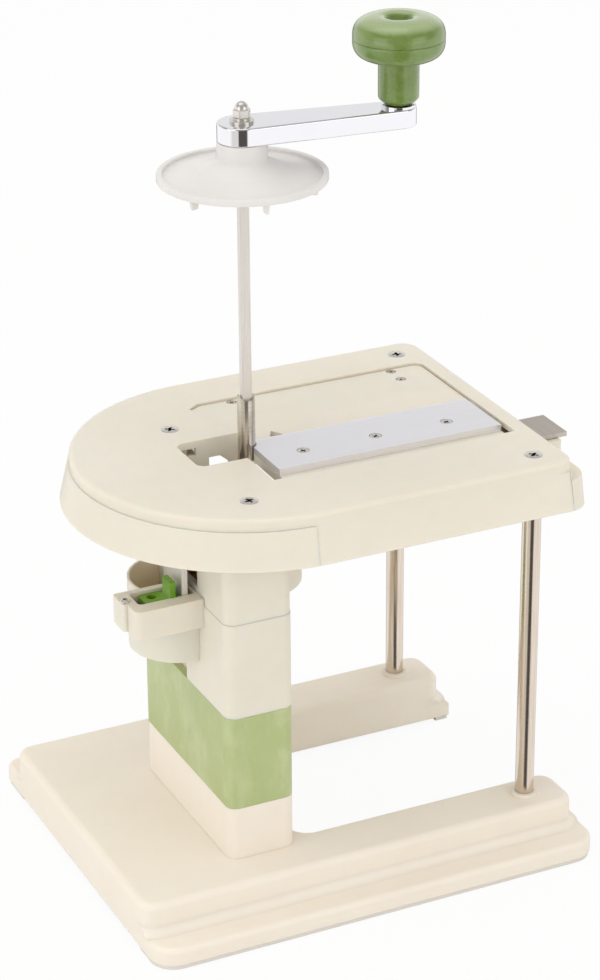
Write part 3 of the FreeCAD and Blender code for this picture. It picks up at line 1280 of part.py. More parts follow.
def ramp():
    """Thickness ramp: panel, carrier with hinge barrel and follower, pin and screws."""
    gap = S.panel_gap
    body = new_body("ramp_body")
    low = S.ramp_top - S.ramp_thick
    front = S.ramp_front
    outline = ramp_outline(gap) + (
        (S.slot_right - gap, front), (S.ramp_root_x + gap * 2 + 3, front), (S.ramp_root_x + gap * 2, S.pit_back),
    )
    panel = pad(body, polygon(body, outline, lift=low), S.ramp_thick)
    panel = soften_uprights(body, panel, [(S.slot_right - gap, S.ramp_back - gap)], S.ramp_corner - gap)
    soften_uprights(body, panel, outline[:2], S.ramp_tip_round)
    reach = S.notch_half + S.notch_rim
    pad(body, rectangle(body, (S.notch_x - reach, S.notch_x + reach), (front, S.notch_y + S.notch_rim),
                        lift=low - S.notch_floor), S.notch_floor)
    notch = ((S.notch_x - S.notch_half, front - 1), (S.notch_x + S.notch_half, front - 1), (S.notch_x, S.notch_y))
    pocket(body, polygon(body, notch, lift=low), S.ramp_thick)
    for x, y in ramp_screws():
        pocket(body, circle(body, x, y, S.small_screw_dia + HOLE, lift=low), S.ramp_thick)
        pocket(body, circle(body, x, y, S.small_head_dia + HOLE, lift=S.ramp_top - S.small_head_tall),
               S.small_head_tall)
    ship("ramp_panel", body)
    carrier_z = (low - S.carrier_thick, low)
    ends = (S.carrier_left, S.carrier_right)
    plate = box(ends, (S.carrier_front, S.hinge_y + S.hinge_barrel_dia / 2), carrier_z)
    barrel = level_rod(ends, S.hinge_y, S.hinge_z, S.hinge_barrel_dia)
    neck_web = box(ends, (S.hinge_y - 2, S.hinge_y + 2), (S.hinge_z, carrier_z[1]))
    pivot = level_rod(ends, S.hinge_y, S.hinge_z, S.hinge_pin_dia + S.running_gap * 2)
    holes = [rod(x, y, carrier_z, S.small_screw_dia + HOLE) for x, y in ramp_screws()]
    solid = cut(fuse(plate, barrel, neck_web, follower(carrier_z[0])), pivot, *holes)
    ship("ramp_carrier", solid)
    pin_ends = (-S.hinge_left_lug, S.carrier_right + S.slide_gap + S.hinge_lug_thick)
    ship("hinge_pin", level_rod(pin_ends, S.hinge_y, S.hinge_z, S.hinge_pin_dia))
    screws = []
    for x, y in ramp_screws():
        top = S.ramp_top
        shank = rod(x, y, (carrier_z[0], top - S.small_head_tall), S.small_screw_dia)
        head = rod(x, y, (top - S.small_head_tall, top - S.head_sink), S.small_head_dia)
        slots = [
            box((x - 1.4, x + 1.4), (y - 0.35, y + 0.35), (top - 1, top + 1)),
            box((x - 0.35, x + 0.35), (y - 1.4, y + 1.4), (top - 1, top + 1)),
        ]
        screws.append(cut(fuse(shank, head), *slots))
    ship("ramp_screws", group(*screws))


def ramp_screws():
    """The screws stand over the carrier, beside its hinge barrel."""
    row = S.ramp_back - S.ramp_screw_in
    right = S.carrier_right - S.carrier_end_screw
    return ((S.carrier_left + S.carrier_first_screw, row), (right, row), (right, row - S.ramp_screw_step))


def wedge_height(x):
    """Height of the wedge face at x."""
    return S.slide_top - S.wedge_sink + S.wedge_slope * (x - S.foot_x)


def follower(top):
    """Foot under the carrier with a sloping sole that follows the wedge."""
    half = S.foot_size / 2
    left, right = S.foot_x - half, S.foot_x + half
    body = new_body("follower_tool")
    sole = (
        (left, wedge_height(left) + S.slide_gap), (right, wedge_height(right) + S.slide_gap),
        (right, top + 1), (left, top + 1),
    )
    sketch = polygon(body, sole, role="XZ_Plane", lift=-(S.foot_y + half))
    pad(body, sketch, S.foot_size)
    return body


def adjusting_slide():
    """L-shaped metal plate with the wedge on its inner end."""
    body = new_body("slide_body")
    low = S.slide_top - S.slide_thick
    arm_right = S.slide_arm_left + S.slide_arm_wide
    reach = S.foot_size / 2 + S.wedge_side
    finger = (S.foot_y - reach, S.foot_y + reach)
    crest = S.foot_x + S.wedge_sink / S.wedge_slope
    outline = (
        (S.slide_end, -S.slide_front), (S.slide_end, -S.slide_back), (arm_right, -S.slide_back),
        (arm_right, finger[1]), (crest, finger[1]), (crest, finger[0]),
        (S.slide_arm_left, finger[0]), (S.slide_arm_left, -S.slide_front),
    )
    pad(body, polygon(body, outline, lift=low), S.slide_thick)
    left, right = S.foot_x - S.wedge_reach, crest + S.wedge_side
    foot = S.slide_top - S.wedge_deep
    wedge = (
        (left, foot), (right, foot), (right, S.slide_top), (crest, S.slide_top), (left, wedge_height(left)),
    )
    pad(body, polygon(body, wedge, role="XZ_Plane", lift=-finger[1]), reach * 2)
    ship("adjusting_plate", body)


# ---------------------------------------------------------------- spindle and crank
def spindle():
    """Toothed spindle tube with a square bore, its bushes and its retaining ring."""
    body = new_body("tube_body")
    pad(body, circle(body, 0, 0, S.tube_dia, lift=S.tube_low), S.tube_top - S.tube_low)
    shoulder = S.barrel_top + S.bush_flange + S.slide_gap
    pad(body, circle(body, 0, 0, S.shoulder_dia, lift=shoulder), S.shoulder_tall)
    half = S.bar_wide / 2 + S.bar_gap
    pocket(body, rectangle(body, (-half, half), (-half, half), lift=S.tube_low), S.tube_top)
    valley = S.tube_top - S.tooth_deep
    notch = ((-S.tooth_notch / 2, S.tube_top + 1), (-S.tooth_notch / 4, valley), (S.tooth_notch / 4, valley),
             (S.tooth_notch / 2, S.tube_top + 1))
    feature = pocket(body, polygon(body, notch, role="XZ_Plane", lift=-S.tube_dia), S.tube_dia * 2)
    feature.Reversed = False
    feature.Midplane = False
    DOC.recompute()
    if feature.Shape.Volume >= feature.BaseFeature.Shape.Volume - 1e-6:
        feature.Reversed = True
    ship("spindle_tube", body, turn=S.crank_angle)
    bore = S.tube_dia + S.running_gap * 2
    for label, seat, up in (("upper_bush", S.barrel_top, 1), ("lower_bush", S.bearing_boss_low, -1)):
        sleeve = (seat - S.bush_long, seat) if up > 0 else (seat, seat + S.bush_long)
        rim = (seat, seat + S.bush_flange) if up > 0 else (seat - S.bush_flange, seat)
        bush = fuse(rod(0, 0, sleeve, S.bush_dia), rod(0, 0, rim, S.bush_flange_dia))
        ship(label, cut(bush, rod(0, 0, (S.barrel_low, S.head_low), bore)))
    ring_top = S.bearing_boss_low - S.bush_flange - S.slide_gap
    ring = rod(0, 0, (ring_top - S.clip_thick, ring_top), S.clip_dia)
    ship("spindle_ring", cut(ring, rod(0, 0, (S.barrel_low, S.barrel_top), S.tube_dia)), turn=S.crank_angle)


def crank_bar():
    """Square bar with a threaded end and the cross hole of the disc pin."""
    half = S.bar_wide / 2
    bar = box((-half, half), (-half, half), (S.bar_low, S.arm_top))
    thread = rod(0, 0, (S.arm_top - 1, S.cap_top - S.cap_dome_wall), S.thread_dia)
    hole = level_rod((-S.pin_long, S.pin_long), 0, pin_height(), S.pin_dia + HOLE)
    ship("crank_bar", cut(fuse(bar, thread), hole), turn=S.crank_angle)
    pin = level_rod((-S.pin_long / 2, S.pin_long / 2), 0, pin_height(), S.pin_dia)
    ship("disc_pin", pin, turn=S.crank_angle)


def pin_height():
    return S.hub_low - S.pin_dia / 2


def presser_disc():
    """Presser disc with a raised rim, a hub for the bar and prongs underneath."""
    body = new_body("disc_body")
    rim = S.disc_dia / 2
    skin = S.disc_skin
    shoulder = S.disc_shoulder_dia / 2
    hub = S.hub_dia / 2
    inner = S.inner_hub_dia / 2
    outline = (
        (0, S.hub_low), (inner, S.hub_low), (inner, S.hub_root - skin), (hub, S.hub_root - skin),
        (shoulder, S.disc_shoulder_top - skin), (rim - skin, S.disc_low), (rim, S.disc_low),
        (rim, S.disc_lip), (rim - skin, S.disc_lip), (rim - skin, S.disc_low + skin),
        (shoulder, S.disc_shoulder_top), (hub, S.hub_root), (hub, S.arm_low), (0, S.arm_low),
    )
    revolve(body, outline)
    half = S.bar_wide / 2 + S.seat_gap
    pocket(body, rectangle(body, (-half, half), (-half, half), lift=S.hub_low - 1), S.arm_low)
    reach = (S.prong_radius - S.prong_long / 2, S.prong_radius + S.prong_long / 2)
    thick = S.prong_thick / 2
    prong_top = S.disc_low + skin / 2
    along, across = cosine(S.prong_turn), sine(S.prong_turn)
    corners = ((reach[0], -thick), (reach[1], -thick), (reach[1], thick), (reach[0], thick))
    spots = [(x * along - y * across, x * across + y * along) for x, y in corners]
    prong = pad(body, polygon(body, spots, lift=S.prong_low), prong_top - S.prong_low)
    ring = body.newObject("PartDesign::PolarPattern", unique("prongs"))
    ring.Originals = [prong]
    ring.Axis = (next(item for item in body.Origin.OriginFeatures if item.Role == "Z_Axis"), [""])
    ring.Angle = 360
    bind(ring, "Occurrences", S.prong_count)
    body.Tip = ring
    ship("presser_disc", body, turn=S.crank_angle)


def crank_arm():
    """Tapering arm with a square hole at the bar and a round one at the knob."""
    body = new_body("arm_body")
    big, small, long = S.arm_hub_radius, S.arm_end_radius, S.arm_long
    lean = (big - small) / long
    upright = root(1 - lean * lean)
    tall = S.arm_top - S.arm_low
    sides = (
        (big * lean, -big * upright), (long + small * lean, -small * upright),
        (long + small * lean, small * upright), (big * lean, big * upright),
    )
    pad(body, polygon(body, sides, lift=S.arm_low), tall)
    pad(body, circle(body, 0, 0, big * 2, lift=S.arm_low), tall)
    arm = pad(body, circle(body, long, 0, small * 2, lift=S.arm_low), tall)
    DOC.recompute()
    soften(body, arm, edges_at_height(arm.Shape, value(S.arm_top)), S.arm_round)
    half = S.bar_wide / 2 + S.seat_gap
    pocket(body, rectangle(body, (-half, half), (-half, half), lift=S.arm_low), tall)
    pocket(body, circle(body, long, 0, S.knob_pin_dia + HOLE, lift=S.arm_low), tall)
    ship("crank_arm", body, turn=S.crank_angle)
    hole = rod(0, 0, (S.arm_top, S.cap_top), S.thread_dia + HOLE)
    washer = rod(0, 0, (S.arm_top, S.arm_top + S.washer_thick), S.washer_dia)
    ship("arm_washer", cut(washer, hole), turn=S.crank_angle)
    spring = rod(0, 0, (S.arm_top + S.washer_thick, S.cap_seat), S.spring_washer_dia)
    hole = rod(0, 0, (S.arm_top, S.cap_top), S.thread_dia + HOLE)
    ship("spring_washer", cut(spring, hole), turn=S.crank_angle)
    cap_nut(S.cap_seat)


def cap_nut(seat):
    """Domed nut: a hexagon, a short collar and a half ball."""
    hexed = hexagon(0, 0, (seat, seat + S.cap_nut_tall), S.cap_nut_wide)
    dome_radius = S.cap_dome_dia / 2
    dome_seat = S.cap_top - dome_radius
    collar = rod(0, 0, (seat + S.cap_nut_tall - 1, dome_seat), S.cap_dome_dia)
    ball = DOC.addObject("Part::Sphere", unique("ball"))
    bind(ball, "Radius", dome_radius)
    place(ball, 0, 0, dome_seat)
    hole = rod(0, 0, (seat - 1, S.cap_top - S.cap_dome_wall + S.seat_gap), S.thread_dia + HOLE)
    ship("cap_nut", cut(fuse(hexed, collar, ball), hole), turn=S.crank_angle)


def knob():
    """Two-piece knob that spins on a headed pin fixed in the arm."""
    x = AXIS_X + S.arm_long * cosine(S.crank_angle)
    y = S.arm_long * sine(S.crank_angle)
    pin = fuse(
        rod(0, 0, (S.arm_low + 1, S.knob_pin_seat + 1), S.knob_pin_dia),
        rod(0, 0, (S.knob_pin_seat, S.knob_pin_seat + S.knob_pin_cap), S.knob_pin_head),
    )
    ship("knob_pin", pin, x, y)
    gasket = rod(0, 0, (S.arm_top, S.arm_top + S.knob_gasket_thick), S.knob_gasket_dia)
    hole = rod(0, 0, (S.arm_top - 1, S.knob_low), S.knob_pin_dia + HOLE)
    ship("knob_washer", cut(gasket, hole), x, y)
    lower = new_body("knob_lower_body")
    bore = S.knob_pin_dia / 2 + S.running_gap
    nest = S.knob_pin_head / 2 + S.slide_gap
    stem = S.stem_dia / 2
    head = S.knob_dia / 2
    seat = S.knob_pin_seat - S.slide_gap
    turned = revolve(lower, (
        (bore, S.knob_low), (stem - S.stem_chamfer, S.knob_low), (stem, S.knob_low + S.stem_chamfer),
        (stem, S.knob_under), (head, S.knob_under), (head, S.knob_seam), (nest, S.knob_seam),
        (nest, seat), (bore, seat),
    ))
    DOC.recompute()
    rim = [pair for pair in edges_at_height(turned.Shape, value(S.knob_under))
           if pair[1].BoundBox.XMax > value(head) - 0.1]
    soften(lower, turned, rim, S.knob_under_round)
    ship("knob_lower", lower, x, y)
    upper = new_body("knob_upper_body")
    dimple = S.dimple_dia / 2
    turned = revolve(upper, (
        (0, S.knob_seam), (head, S.knob_seam), (head, S.knob_top), (dimple, S.knob_top),
        (dimple * 0.6, S.knob_top - S.dimple_deep), (0, S.knob_top - S.dimple_deep),
    ))
    DOC.recompute()
    rim = [pair for pair in edges_at_height(turned.Shape, value(S.knob_top))
           if pair[1].BoundBox.XMax > value(head) - 0.1]
    soften(upper, turned, rim, S.knob_over_round)
    ship("knob_upper", upper, x, y)


# ---------------------------------------------------------------- build, check, write
def build():
    base()
    foot_strip("front_foot_strip", -1)
    foot_strip("back_foot_strip", 1)
    posts()
    column()
    neck()
    catch()
    tongue()
    bearing_socket()
    housing()
    cover()
    frame_screws()
    blade()
    ramp()
    adjusting_slide()
    spindle()
    crank_bar()
    presser_disc()
    crank_arm()
    knob()
    DOC.recompute()


def check():
    for item in DOC.Objects:
        if {"Invalid", "Error"} & set(item.State):
            raise RuntimeError(f"{item.Name} ({item.Label}) failed: {item.State}")
    for item in SUBPARTS:
        shape = item.Shape
        if shape.isNull() or not shape.isValid() or shape.Volume <= 0:
            raise RuntimeError(f"{item.Label} has no valid solid")


def write():
    os.makedirs("parts", exist_ok=True)
    for item in SUBPARTS:
        item.Shape.exportStep(os.path.join("parts", f"{item.Label}.step"))
        bounds = item.Shape.BoundBox
        print(f"{item.Label:18s} solids {len(item.Shape.Solids)}  volume {item.Shape.Volume:10.1f}  "
              f"x {bounds.XMin:7.1f}..{bounds.XMax:6.1f}  y {bounds.YMin:7.1f}..{bounds.YMax:6.1f}  "
              f"z {bounds.ZMin:6.1f}..{bounds.ZMax:6.1f}")


build()
check()
write()
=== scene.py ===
# %% [markdown]
# # Rotary cabbage shredder
#
# A hand cranked kitchen machine: a U-shaped base, a column, two steel posts, a flat head with a
# blade, and a crank with a pronged disc. The exact solids come from a CAD model. This notebook
# loads them as a fixed frame and gives every piece its finish and its fine detail.

# %% Load the frame
import json
import math
import bmesh
import bpy
from mathutils import Matrix, Vector

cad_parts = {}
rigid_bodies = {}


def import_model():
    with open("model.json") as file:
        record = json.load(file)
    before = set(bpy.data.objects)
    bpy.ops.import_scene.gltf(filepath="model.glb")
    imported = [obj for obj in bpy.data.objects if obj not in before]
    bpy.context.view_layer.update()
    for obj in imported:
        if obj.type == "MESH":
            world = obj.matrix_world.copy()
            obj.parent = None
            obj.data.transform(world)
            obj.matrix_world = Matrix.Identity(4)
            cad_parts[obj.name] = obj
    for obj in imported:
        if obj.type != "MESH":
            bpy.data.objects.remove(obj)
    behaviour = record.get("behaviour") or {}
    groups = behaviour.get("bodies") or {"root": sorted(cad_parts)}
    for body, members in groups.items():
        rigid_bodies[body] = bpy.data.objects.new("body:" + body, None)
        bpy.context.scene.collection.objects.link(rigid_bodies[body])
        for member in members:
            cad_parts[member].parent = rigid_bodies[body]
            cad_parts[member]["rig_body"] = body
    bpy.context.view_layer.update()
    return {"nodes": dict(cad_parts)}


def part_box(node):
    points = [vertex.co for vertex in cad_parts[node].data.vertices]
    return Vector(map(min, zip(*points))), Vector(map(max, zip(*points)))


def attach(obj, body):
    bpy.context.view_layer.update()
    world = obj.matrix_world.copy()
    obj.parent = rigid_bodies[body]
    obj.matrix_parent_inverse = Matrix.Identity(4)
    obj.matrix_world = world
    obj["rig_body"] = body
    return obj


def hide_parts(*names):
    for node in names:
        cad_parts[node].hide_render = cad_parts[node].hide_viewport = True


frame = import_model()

nodes = frame["nodes"]
mm = 0.001

# %% [markdown]
# ## The camera
#
# The camera stands at the front left of the machine and above it. Its lens is long, so that the
# uprights stay almost parallel. It could be turned with Euler angles, but building its axes from one
# heading, one height and a small roll keeps the numbers readable: `back` points from the machine to
# the camera, and the other two axes follow from it.

# %% Camera
heading, height, roll = (math.radians(degrees) for degrees in (-25.48, 24.66, -0.41))
camera_place = (-0.6208, -1.3016, 0.8605)
focal_length, sensor_height = 110.28, 36
back = Vector((math.sin(heading) * math.cos(height), -math.cos(heading) * math.cos(height),
               math.sin(height)))
right = (-back).cross(Vector((0, 0, 1))).normalized()
upward = right.cross(-back)
screen_right = right * math.cos(roll) + upward * math.sin(roll)
screen_up = upward * math.cos(roll) - right * math.sin(roll)
turn = Matrix((screen_right, screen_up, back)).transposed().to_4x4()

lens = bpy.data.cameras.new("camera")
lens.sensor_fit = "VERTICAL"
lens.sensor_height = sensor_height
lens.lens = focal_length
lens.clip_start, lens.clip_end = 0.05, 50
camera = bpy.data.objects.new("camera", lens)
camera.matrix_world = Matrix.Translation(camera_place) @ turn
bpy.context.scene.collection.objects.link(camera)
bpy.context.scene.camera = camera
bpy.context.scene.view_settings.view_transform = "Standard"
print("camera looks along", [round(value, 3) for value in -back])

# %% [markdown]
# ## Shader maths as Python
#
# Node graphs are easy to click together and hard to read in a script. One small class wraps an
# output socket, so that `1 - mask * 0.3` adds the Math nodes by itself. Every other node comes from
# the same `node` method: its type, its settings, and the values or links of its sockets.

# %% A socket with arithmetic
class Wire:
    """An output socket of a node tree, with arithmetic that adds Math nodes."""

    def __init__(self, socket):
        self.socket = socket
        self.tree = socket.id_data

    @classmethod
    def node(cls, tree, kind, settings=None, inputs=None, out=0):
        made = tree.nodes.new("ShaderNode" + kind)
        for name, value in (settings or {}).items():
            setattr(made, name, value)
        for name, value in (inputs or {}).items():
            if isinstance(value, Wire):
                tree.links.new(value.socket, made.inputs[name])
            else:
                made.inputs[name].default_value = value
        return cls(made.outputs[out])

    def math(self, operation, other, swapped=False):
        first, second = (other, self) if swapped else (self, other)
        return Wire.node(self.tree, "Math", {"operation": operation}, {0: first, 1: second})

    def between(self, low, high, start=0.0, end=1.0):
        """Smoothly from start to end while the value goes from low to high."""
        return Wire.node(self.tree, "MapRange", {"interpolation_type": "SMOOTHSTEP"},
                         {0: self, 1: low, 2: high, 3: start, 4: end})

    def __add__(self, other):
        return self.math("ADD", other)

    def __sub__(self, other):
        return self.math("SUBTRACT", other)

    def __rsub__(self, other):
        return self.math("SUBTRACT", other, swapped=True)

    def __mul__(self, other):
        return self.math("MULTIPLY", other)

    __radd__ = __add__
    __rmul__ = __mul__


def blend_colours(share, first, second):
    """One colour wire from two colours and a share between them."""
    # The Mix node's colour sockets go by number, because its other sockets have the same names.
    return Wire.node(share.tree, "Mix", {"data_type": "RGBA"}, {0: share, 6: first, 7: second}, out=2)


def along(vector, direction):
    """How far a wire with a vector points along a fixed direction."""
    return Wire.node(vector.tree, "VectorMath", {"operation": "DOT_PRODUCT"},
                     {0: vector, 1: direction}, out="Value")


# %% [markdown]
# ## A blank material
#
# Each finish starts in the same way: an empty node tree and the object's own coordinates in metres,
# so that a grain of 0.3 mm stays 0.3 mm on every piece. `close` adds the Principled shader. The
# moulded edges get their small radius from a Bevel node, which bends the normals where two faces
# meet. A real bevel on every solid would do the same with many more faces.

# %% Start and close a material
def empty_material(name):
    material = bpy.data.materials.new(name)
    material.use_nodes = True
    material.node_tree.nodes.clear()
    return material, material.node_tree


def blank(name):
    """An empty material, its node tree and the object's own coordinates."""
    material, tree = empty_material(name)
    return material, tree, Wire.node(tree, "TexCoord", out="Object")


def material_output(tree, shader):
    output = tree.nodes.new("ShaderNodeOutputMaterial")
    tree.links.new(shader.socket, output.inputs["Surface"])


def close(tree, colour, roughness, bump, depth, edge, **fixed):
    """Add the Principled shader: bump and depth make the grain, edge is the radius of the edges."""
    bumps = {"Height": bump, "Distance": depth, "Strength": 1.0}
    if edge:
        bumps["Normal"] = Wire.node(tree, "Bevel", {"samples": 4}, {"Radius": edge})
    normal = Wire.node(tree, "Bump", None, bumps)
    inputs = {"Base Color": colour, "Roughness": roughness, "Normal": normal}
    inputs.update({name.replace("_", " "): value for name, value in fixed.items()})
    material_output(tree, Wire.node(tree, "BsdfPrincipled", None, inputs))


def noise(tree, place, scale, detail=2.0, roughness=0.5, stretch=None):
    """A noise value around 0.5, finer with a larger scale, drawn out where stretch is small."""
    if stretch is not None:
        place = Wire.node(tree, "Mapping", None, {"Vector": place, "Scale": stretch})
    return Wire.node(tree, "TexNoise", None,
                     {"Vector": place, "Scale": scale, "Detail": detail, "Roughness": roughness})


# %% [markdown]
# ## Ivory plastic
#
# Head, neck and base are moulded in a warm ivory. The surface is satin with a very fine spark-eroded
# grain, and its tone drifts a little where the plastic flowed. A flat colour would look like paint,
# so a large slow noise shifts the colour, a fine one shifts the gloss, and the grain is a bump of a
# few hundredths of a millimetre. Grooves and inner corners get a painted brown shade: an Ambient
# Occlusion node finds them on every piece and mixes brown into the colour where shade falls. The
# walls are thin, so some light wanders through them and warms the inside of the cup, which is what
# subsurface scattering does. The base is the same plastic in a paler, drier batch. One copy of it
# has no rounded edges and no painted brown shade, for a strip that runs out tangent to the face
# beside it.

# %% Ivory plastic
flow_scale, cloud_scale = 14.0, 84.0
# Reach and colour of the brown shade that is painted into grooves and inner corners.
shade_reach, painted_shade_brown = 4 * mm, (0.47, 0.30, 0.13, 1)
ivory_scatter = (1.0, 0.62, 0.32)


def moulded(name, colour, deep, gloss, grain, edge, scatter, painted_shade=0.75):
    """Ivory from two close tones; grain is a noise scale, painted_shade the painted brown in grooves."""
    material, tree, place = blank(name)
    drift = noise(tree, place, flow_scale, 3.0).between(0.3, 0.7)
    cloud = noise(tree, place, cloud_scale, 4.0, 0.6).between(0.35, 0.75)
    tone = blend_colours(drift * 0.6 + cloud * 0.4, colour, deep)
    if painted_shade:
        # Painted shade: brown mixed into the colour where Ambient Occlusion finds grooves and corners.
        shade_occlusion = Wire.node(tree, "AmbientOcclusion", {"samples": 8}, {"Distance": shade_reach},
                             out="AO")
        tone = blend_colours(shade_occlusion.between(0.10, 0.62, painted_shade, 0.0), tone, painted_shade_brown)
    fine = noise(tree, place, grain)
    close(tree, tone, gloss + (fine - 0.5) * 0.25 + (drift - 0.5) * 0.05, fine, 0.04 * mm, edge,
          Specular_IOR_Level=0.42, Subsurface_Weight=scatter, Subsurface_Scale=4 * mm,
          Subsurface_Radius=ivory_scatter)
    return material


ivory_tones = (0.790, 0.745, 0.645, 1), (0.760, 0.712, 0.605, 1)
base_tones = (0.885, 0.812, 0.712, 1), (0.858, 0.780, 0.672, 1)
ivory = moulded("ivory_plastic", *ivory_tones, gloss=0.42, grain=2600, edge=0.3 * mm, scatter=0.35)
base_ivory = moulded("base_plastic", *base_tones, gloss=0.50, grain=2200, edge=0.6 * mm, scatter=0.1)
# This copy has no rounded edges and no painted brown shade.
seamless_ivory = moulded("base_plastic_seamless", *base_tones, gloss=0.50, grain=2200, edge=0.0,
                         scatter=0.1, painted_shade=0.0)
print("ivory finishes:", ivory.name, base_ivory.name, seamless_ivory.name)

# %% [markdown]
# ## Mottled green plastic
#
# The sleeve and the knob are moulded in a soft green with pale wisps and specks, as regrind plastic
# has. A stretched noise gives the wisps that follow the flow of the mould, and a second fine noise
# gives the light specks. The knob is darker and smoother than the sleeve and has a thin varnish.
# Where its faces look up, a pale painted sheen stands in for the light from above; the upward part
# of the normal places it.

# %% Green plastics
# Colour of the sheen that is painted on the knob's upward faces.
painted_sheen_green = (0.440, 0.520, 0.280, 1)


def mottled(name, colour, pale, dark, gloss, stretch, shine=0.45, varnish=0.0):
    """Green from three tones, with wisps along the stretch. Only a varnished piece gets the painted
    sheen.
    """
    material, tree, place = blank(name)
    wisps = noise(tree, place, 60.0, 5.0, 0.65, stretch)
    clouds = noise(tree, place, 22.0)
    specks = noise(tree, place, 900.0, 2.0, 0.6)
    tone = blend_colours(wisps.between(0.42, 0.68), colour, pale)
    tone = blend_colours(clouds.between(0.45, 0.75, 0.0, 0.55), tone, dark)
    tone = blend_colours(specks.between(0.60, 0.74, 0.0, 0.5), tone, pale)
    # Painted sheen: a pale green on upward faces stands in for light from above.
    if varnish:
        upness = along(Wire.node(tree, "NewGeometry", out="Normal"), (0, 0, 1))
        tone = blend_colours(upness.between(0.55, 0.95, 0.0, 0.65), tone, painted_sheen_green)
    close(tree, tone, gloss + (wisps - 0.5) * 0.2, specks, 0.06 * mm, 0.7 * mm,
          Specular_IOR_Level=shine, Coat_Weight=varnish, Coat_Roughness=0.12)
    return material


sleeve_green = mottled("sleeve_green", (0.435, 0.500, 0.230, 1), (0.520, 0.575, 0.315, 1),
                       (0.380, 0.450, 0.178, 1), 0.42, (1.0, 1.0, 0.6))
knob_green = mottled("knob_green", (0.136, 0.218, 0.037, 1), (0.195, 0.272, 0.072, 1),
                     (0.106, 0.178, 0.027, 1), 0.28, (1.0, 1.0, 1.6), shine=0.6, varnish=0.6)

catch_green, tree, place = blank("catch_green")
flow = noise(tree, place, 300.0, 3.0)
tone = blend_colours(flow.between(0.35, 0.7), (0.135, 0.320, 0.006, 1), (0.170, 0.370, 0.012, 1))
close(tree, tone, 0.28 + flow * 0.1, flow, 0.03 * mm, 0.4 * mm)
print("green finishes:", sleeve_green.name, knob_green.name, catch_green.name)

# %% [markdown]
# ## Milky white plastic
#
# The presser disc is natural polypropylene: white, waxy and a little see-through, so its thin skin
# and the prongs look softer than paint would. Subsurface scattering with a radius of a few
# millimetres gives that glow. The bushes are a denser white, and the foot strips are a pale matt
# rubber with a coarse grit.

# %% White plastic and rubber
def milky(name, colour, deep, scatter):
    material, tree, place = blank(name)
    swirl = noise(tree, place, 40.0, 3.0)
    tone = blend_colours(swirl.between(0.3, 0.7), colour, deep)
    close(tree, tone, 0.34 + (swirl - 0.5) * 0.12, noise(tree, place, 1500.0), 0.03 * mm, 0.5 * mm,
          Subsurface_Weight=scatter, Subsurface_Scale=2 * mm, Subsurface_Radius=(1, 1, 1),
          Specular_IOR_Level=0.4)
    return material


disc_white = milky("disc_white", (0.775, 0.755, 0.735, 1), (0.750, 0.730, 0.710, 1), 0.25)
bush_white = milky("bush_white", (0.780, 0.750, 0.690, 1), (0.740, 0.710, 0.650, 1), 0.05)

foot_rubber, tree, place = blank("foot_rubber")
grit = noise(tree, place, 1800.0, 3.0)
tone = blend_colours(grit.between(0.3, 0.7), (0.74, 0.70, 0.64, 1), (0.80, 0.76, 0.71, 1))
close(tree, tone, 0.72 + grit * 0.15, grit, 0.08 * mm, 0.4 * mm)
print("white and rubber:", disc_white.name, bush_white.name, foot_rubber.name)

# %% [markdown]
# ## Metals
#
# Eight metal finishes are on the machine. What tells them apart is less their colour than the
# direction and depth of the machining marks: ground posts show long fine lines, the turned spindle
# shows rings, the blade is ground lengthwise, the adjusting plate is rolled sheet, and the crank arm
# is mirror plated. One function makes them all from a stretched noise, which feeds the roughness and
# a very shallow bump. Dull sheet scatters part of the light, so its `share` of metal is below 1.

# %% Metals
polished = 0.001 * mm


def metal(name, colour, deep, gloss, marks, stretch, depth=0.003 * mm, spread=0.10, share=1.0):
    """Metal from two tones. marks is a noise scale, and the marks run long where stretch is small."""
    material, tree, place = blank(name)
    lines = noise(tree, place, marks, 3.0, 0.6, stretch)
    haze = noise(tree, place, 30.0, 3.0)
    tone = blend_colours(lines.between(0.3, 0.7, 0.0, 0.7) + haze * 0.3, colour, deep)
    close(tree, tone, gloss + (lines - 0.5) * spread + (haze - 0.5) * 0.06, lines, depth, 0.2 * mm,
          Metallic=share)
    return material


post_steel = metal("post_steel", (0.76, 0.67, 0.57, 1), (0.66, 0.57, 0.47, 1), 0.20, 900,
                   (1.0, 1.0, 0.04))
bar_steel = metal("bar_steel", (0.80, 0.76, 0.71, 1), (0.71, 0.67, 0.62, 1), 0.30, 1500,
                  (1.0, 1.0, 0.03), share=0.6)
spindle_steel = metal("spindle_steel", (0.68, 0.63, 0.57, 1), (0.56, 0.51, 0.45, 1), 0.20, 1200,
                      (0.1, 0.1, 1.0))
blade_steel = metal("blade_steel", (0.93, 0.92, 0.94, 1), (0.89, 0.88, 0.90, 1), 0.36, 1500,
                    (0.03, 1.0, 1.0), polished, share=0.7)
plate_steel = metal("plate_steel", (0.58, 0.535, 0.475, 1), (0.51, 0.465, 0.41, 1), 0.40, 900,
                    (1.0, 0.04, 1.0), polished, share=0.8)
tongue_metal = metal("tongue_aluminium", (0.88, 0.86, 0.83, 1), (0.82, 0.80, 0.77, 1), 0.40, 1200,
                     (1.0, 1.0, 0.04), polished, share=0.6)
fastener_steel = metal("fastener_steel", (0.80, 0.77, 0.72, 1), (0.70, 0.67, 0.62, 1), 0.26, 2500,
                       (1.0, 1.0, 1.0), share=0.8)
chrome = metal("arm_chrome", (0.88, 0.88, 0.90, 1), (0.86, 0.86, 0.88, 1), 0.05, 60,
               (1.0, 1.0, 1.0), polished, spread=0.02)
print("metals:", [item.name for item in (post_steel, bar_steel, spindle_steel, blade_steel,
                                         plate_steel, tongue_metal, fastener_steel, chrome)])

